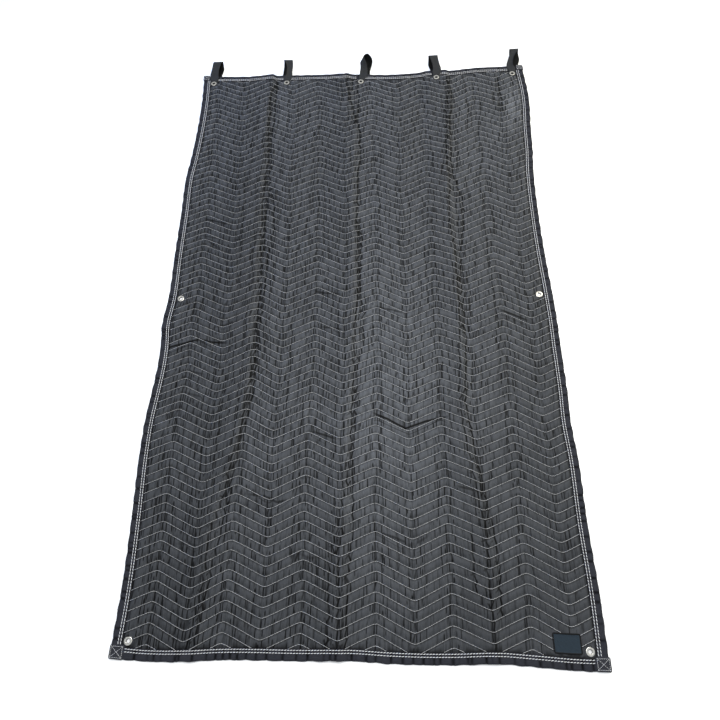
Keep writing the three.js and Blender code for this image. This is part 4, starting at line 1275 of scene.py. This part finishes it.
class BLANKET_OT_corners(bpy.types.Operator):
    """Patches folded over the corners, each sewn down with a box and a cross"""

    bl_idname = "blanket.corners"
    bl_label = "Corner patches"

    def execute(self, context):
        edge = settings().edge
        tape = ribbed_cloth("woven patch tape", settings().colours.tape, 2.6 * MM, 0.08, 0.5, Roughness=0.8,
                            Specular_IOR_Level=0.12)
        thread = mottled("thin patch thread", settings().colours.edging, 3 * MM, 0.15, Roughness=0.6)
        for name, row in CORNERS.items():
            (out, across), (below, along) = row["across"], row["along"]
            size = np.array([across - out, along - below]) * MM
            middle = np.array([across + out, along + below]) * MM / 2

            def place(points, w):
                from_side, from_end = middle[0] + points[:, 0], middle[1] + points[:, 1]
                u = edge_place(row["side"], 0, from_side)[0]
                v = edge_place(row["end"], 0, from_end)[1]
                return lay(u, v, w)

            rings, cloth = [], []
            for inset, share in PATCH_PROFILE:
                outline = rounded_outline(*size, PATCH["corner"] * MM, inset * MM)
                rings.append(place(outline, share * edge.patch))
                cloth.append(np.column_stack([outline, np.zeros(len(outline))]))
            patch = loft(f"patch_{name[7:]}", rings, cloth=np.concatenate(cloth))
            fitted(patch, tape, "binding_tape", name)
            half = size / 2 - PATCH["hem"] * MM
            box = np.array([(-1, -1), (1, -1), (1, 1), (-1, 1), (-1, -1)]) * half
            cross = [np.array([(-1, -1), (1, 1)]) * half, np.array([(-1, 1), (1, -1)]) * half]
            lines = [place(line, PATCH["over"] * edge.patch) for line in (box, *cross)]
            sewing = stitched(f"patch_stitches_{name[7:]}", lines, thread, Pitch=PATCH["stitch"] * MM,
                              Length=PATCH["stitch"] * PATCH["length"] * MM, Width=PATCH["thread"] * MM,
                              Height=PATCH["thread"] * PATCH["height"] * MM, Sides=6, Rings=4)
            fitted(sewing, thread, "binding_tape")
        return {"FINISHED"}


class BLANKET_OT_eyelets(bpy.types.Operator):
    """Pressed metal eyelets"""

    bl_idname = "blanket.eyelets"
    bl_label = "Eyelets"

    def execute(self, context):
        fittings = settings().fittings
        plating = nickel_plate()
        share, height = np.array(EYELET_PROFILE).T
        radius = fittings.bore + share * (fittings.flange - fittings.bore)
        angles = np.arange(EYELET_SIDES) * 2 * math.pi / EYELET_SIDES
        for name in eyelet_places():
            low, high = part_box(name)
            middle = (low + high) / 2
            z = np.where((height < 0) | (share == 0.3), high.z + height * MM, low.z + height * MM)
            rings = [np.column_stack([middle.x + radius * math.cos(a), middle.y + radius * math.sin(a), z])
                     for a in angles]
            # The bore's points are marked for painted shade
            bore = np.stack(np.broadcast_arrays(angles[:, None], height, share <= 0.03), -1)
            ring = loft(f"ring_{name[7:]}", rings, closed=True, cloth=bore.reshape(-1, 3))
            fitted(ring, plating, "eyelet_metal", name)
        return {"FINISHED"}


def strap_line(row, base):
    """Middle line of a loop's strap, as distances out from its eyelet and heights."""
    top, thick = settings().edge.top / MM, settings().fittings.webbing_thickness / MM
    out_edge, gap = EYELET_INSET, STRAP["gap"]
    over = base + top + STRAP["clear"] + 2 * gap + thick / 2
    under = base - gap - thick / 2
    floor = gap + thick
    seat = base + RIM["high"] + gap + thick / 2
    spots = {key: (out_edge + LOOP_BEND[key][0] * row["reach"], floor + LOOP_BEND[key][1] * row["open"])
             for key in ("rise", "crest", "tip", "turn")}
    bend = np.array([
        (out_edge - STRAP["ease"], over),
        (spots["rise"][0], max(over + STRAP["ease"], spots["rise"][1])),
        spots["crest"], spots["tip"], spots["turn"],
        (out_edge + LOOP_BEND["back"] * row["reach"], min(floor, under)),
        (out_edge + STRAP["ease"], under),
    ])
    run = np.concatenate([[0], np.cumsum(np.hypot(*np.diff(bend, axis=0).T))])
    loop = smooth_curve(run, bend, np.linspace(0, run[-1], STRAP_POINTS["loop"]))
    seat_run = np.linspace(-STRAP["tail"], STRAP["flat"], STRAP_POINTS["seat"])
    climb_run = np.linspace(STRAP["climb"], loop[0, 0], STRAP_POINTS["climb"])[:-1]
    back_run = np.linspace(loop[-1, 0], -STRAP["tail"], STRAP_POINTS["back"])[1:]
    return np.concatenate([
        np.column_stack([seat_run, np.full_like(seat_run, seat)]),
        np.column_stack([climb_run, np.full_like(climb_run, over)]),
        loop,
        np.column_stack([back_run, np.full_like(back_run, under)]),
    ]) * MM


class BLANKET_OT_loops(bpy.types.Operator):
    """Webbing loops at the head eyelets"""

    bl_idname = "blanket.loops"
    bl_label = "Webbing loops"

    def execute(self, context):
        fittings = settings().fittings
        # Woven polypropylene webbing: close ribs across it, a slight gloss, and painted shade inside the loop
        webbing = ribbed_cloth("woven webbing", settings().colours.webbing, 3 * MM, 0.12, 0.15, Roughness=0.6,
                               Specular_IOR_Level=0.08)
        over, thickness = np.array(STRAP_SECTION).T
        side = np.concatenate([over, over[::-1]])
        face = np.concatenate([thickness, -thickness[::-1]])
        places = eyelet_places()
        for number, row in enumerate(LOOPS, 1):
            x, y, base = lay(*places[f"eyelet_head_{number}"], 0)
            line = strap_line(row, base / MM)
            out, z = line[:, :1], line[:, 1:]
            run = np.gradient(line, axis=0)
            run = run / np.linalg.norm(run, axis=1, keepdims=True)
            past_edge = (out - EYELET_INSET * MM) / (row["reach"] * MM)
            full = ramp(out, fittings.flange, STRAP["taper"] * MM)
            half = (STRAP["end"] * MM * (1 - full) + fittings.webbing * full) / 2
            half = half * (1 - STRAP["cup"] * ramp(past_edge, 0, STRAP["free"]))
            free = ramp(past_edge, 0, LOOP_ROLLED)
            axis = (STRAP["gap"] + row["open"] / 2) * MM + fittings.webbing_thickness
            # One edge of the front curls up, and the back comes out from under the blanket a little to one side
            hold = ramp(out, fittings.flange, EYELET_INSET * MM) * (1 - ramp(past_edge, STRAP["free"], 1))
            lower = (np.arange(len(line)) > out.argmax())[:, None]
            turn = math.radians(row["roll"]) * free * (1 - LOOP_FLAT * hold * lower)
            slide = row["swing"] * MM * ramp(out, 0, EYELET_INSET * MM) + row["back"] * MM * hold * lower
            curl = row["curl"] * MM * hold * ~lower
            curled = np.clip(side * np.sign(row["curl"]), 0, 1)
            across = side * half - curl * curled
            thick = face * fittings.webbing_thickness / 2
            up = z + thick * run[:, :1] - axis + STRAP["curl_lift"] * np.abs(curl) * curled
            rings = np.stack([
                x + across * np.cos(turn) + up * np.sin(turn) + row["lean"] * MM * free + slide,
                y + out - thick * run[:, 1:],
                axis + row["rise"] * MM * free + up * np.cos(turn) - across * np.sin(turn)], -1)
            length = np.concatenate([[0], np.cumsum(np.linalg.norm(np.diff(line, axis=0), axis=1))])
            # The strap's inner face is marked for painted shade inside the loop
            cloth = np.stack(np.broadcast_arrays(across, length[:, None], face < 0), -1)
            strap = loft(f"strap_{number}", rings, cloth=cloth.reshape(-1, 3))
            bored(strap, [(x, y, base)], fittings.bore + BORE_SLACK * MM)
            fitted(strap, webbing, "webbing", f"loop_{number}")
        return {"FINISHED"}


class BLANKET_OT_label(bpy.types.Operator):
    """Bare label with an overlocked border"""

    bl_idname = "blanket.label"
    bl_label = "Label"

    def execute(self, context):
        fittings, colours = settings().fittings, settings().colours
        # Woven label cloth: a fine close twill, matt
        twill = ribbed_cloth("woven label cloth", colours.label, 2.2 * MM, 0.06, 1.0, Roughness=0.75,
                             Specular_IOR_Level=0.2)
        thread = mottled("overlock thread", colours.border, 2 * MM, 0.25, Roughness=0.6, Specular_IOR_Level=0.15)
        turn = math.radians(LABEL["turn"])

        def place(points, w):
            u = LABEL["place"][0] * MM + points[:, 0] * math.cos(turn) - points[:, 1] * math.sin(turn)
            v = LABEL["place"][1] * MM + points[:, 0] * math.sin(turn) + points[:, 1] * math.cos(turn)
            return lay(u, v, w)

        rings, cloth = [], []
        for inset, high in LABEL_PROFILE:
            outline = rounded_outline(
                fittings.label_width, fittings.label_height, fittings.label_corner, inset * MM)
            rings.append(place(outline, (LABEL["seat"] + high) * MM))
            cloth.append(np.column_stack([outline[:, 0], outline.sum(axis=1), np.zeros(len(outline))]))
        label = loft("label_cloth", rings, cloth=np.concatenate(cloth))
        label.data.materials.append(twill)
        label.data.materials.append(thread)
        for face in label.data.polygons:
            off = label_distance(*flat_place(face.center))
            face.material_index = int(off > -fittings.label_border)
        fitted(label, twill, "label_cloth", "label")
        border = rounded_outline(
            fittings.label_width, fittings.label_height, fittings.label_corner, fittings.label_border / 2)
        border = np.concatenate([border, border[:1]])
        line = place(border, (LABEL["seat"] + OVERLOCK["lift"]) * MM)
        sewing = stitched(
            "label_overlock", [line], thread, Pitch=OVERLOCK["pitch"] * MM, Length=fittings.label_border,
            Width=OVERLOCK["thread"] * MM, Height=OVERLOCK["thread"] * OVERLOCK["height"] * MM, Sides=6, Rings=4,
            Slant=OVERLOCK["slant"])
        fitted(sewing, thread, "label_cloth")
        return {"FINISHED"}


def flat_place(point):
    """Flat cloth place of a frame point near the foot, where the cloth lies almost unshifted."""
    origin = floor_origin()
    u, v = point[0] - origin[0], point[1] - origin[1]
    x, y = spread(u, v)
    return u - (x - u), v - (y - v)


class BLANKET_OT_stage(bpy.types.Operator):
    """Pale floor, soft studio light and camera"""

    bl_idname = "blanket.stage"
    bl_label = "Stage"

    def execute(self, context):
        scene = context.scene
        floor_mesh = bpy.data.meshes.new("floor")
        corners = [(x * FLOOR_REACH, y * FLOOR_REACH, 0) for x, y in ((-1, -1), (1, -1), (1, 1), (-1, 1))]
        floor_mesh.from_pydata(corners, [], [(0, 1, 2, 3)])
        floor = bpy.data.objects.new("floor", floor_mesh)
        scene.collection.objects.link(floor)
        # Painted studio floor: matt white, very slightly uneven in tone
        floor_mesh.materials.append(mottled("painted floor", settings().colours.floor, 0.6, 0.01, Roughness=0.9))
        scene.world = bpy.data.worlds.new("studio")
        scene.world.use_nodes = True
        background = scene.world.node_tree.nodes["Background"]
        background.inputs["Color"].default_value = STUDIO["colour"]
        background.inputs["Strength"].default_value = STUDIO["strength"]
        for row in LIGHTS:
            lamp = bpy.data.lights.new(row["name"], "AREA")
            lamp.size, lamp.energy, lamp.color = row["size"], row["power"], row["tint"]
            light = bpy.data.objects.new(row["name"], lamp)
            light.location = row["place"]
            light.visible_glossy = row["mirrored"]
            light.rotation_euler = (-Vector(row["place"])).to_track_quat("-Z", "Y").to_euler()
            scene.collection.objects.link(light)
        lens = bpy.data.cameras.new("camera")
        lens.lens, lens.sensor_width = CAMERA["lens"], CAMERA["sensor"]
        camera = bpy.data.objects.new("camera", lens)
        camera.location = Vector(CAMERA["place"]) + Vector(floor_origin())
        camera.rotation_euler = [math.radians(a) for a in CAMERA["turn"]]
        scene.collection.objects.link(camera)
        scene.camera = camera
        scene.view_settings.view_transform = "Standard"
        return {"FINISHED"}


class BLANKET_PT_sidebar(bpy.types.Panel):
    """Buttons for the blanket's pieces"""

    bl_idname = "BLANKET_PT_sidebar"
    bl_label = "Sound dampening blanket"
    bl_space_type = "VIEW_3D"
    bl_region_type = "UI"
    bl_category = "Blanket"

    def draw(self, context):
        for operator in OPERATORS:
            self.layout.operator(operator.bl_idname)


OPERATORS = (
    BLANKET_OT_panel,
    BLANKET_OT_quilting,
    BLANKET_OT_binding,
    BLANKET_OT_edging,
    BLANKET_OT_corners,
    BLANKET_OT_eyelets,
    BLANKET_OT_loops,
    BLANKET_OT_label,
    BLANKET_OT_stage,
)
CLASSES = (BlanketQuilt, BlanketEdge, BlanketFittings, BlanketColours, BlanketSettings, *OPERATORS, BLANKET_PT_sidebar)


def register():
    for kind in CLASSES:
        bpy.utils.register_class(kind)
    bpy.types.Scene.blanket = PointerProperty(type=BlanketSettings)


def unregister():
    del bpy.types.Scene.blanket
    for kind in reversed(CLASSES):
        bpy.utils.unregister_class(kind)


def main():
    register()
    bpy.ops.blanket.panel()
    bpy.ops.blanket.quilting()
    bpy.ops.blanket.binding()
    bpy.ops.blanket.edging()
    bpy.ops.blanket.corners()
    bpy.ops.blanket.eyelets()
    bpy.ops.blanket.loops()
    bpy.ops.blanket.label()
    bpy.ops.blanket.stage()


if __name__ == "__main__":
    main()
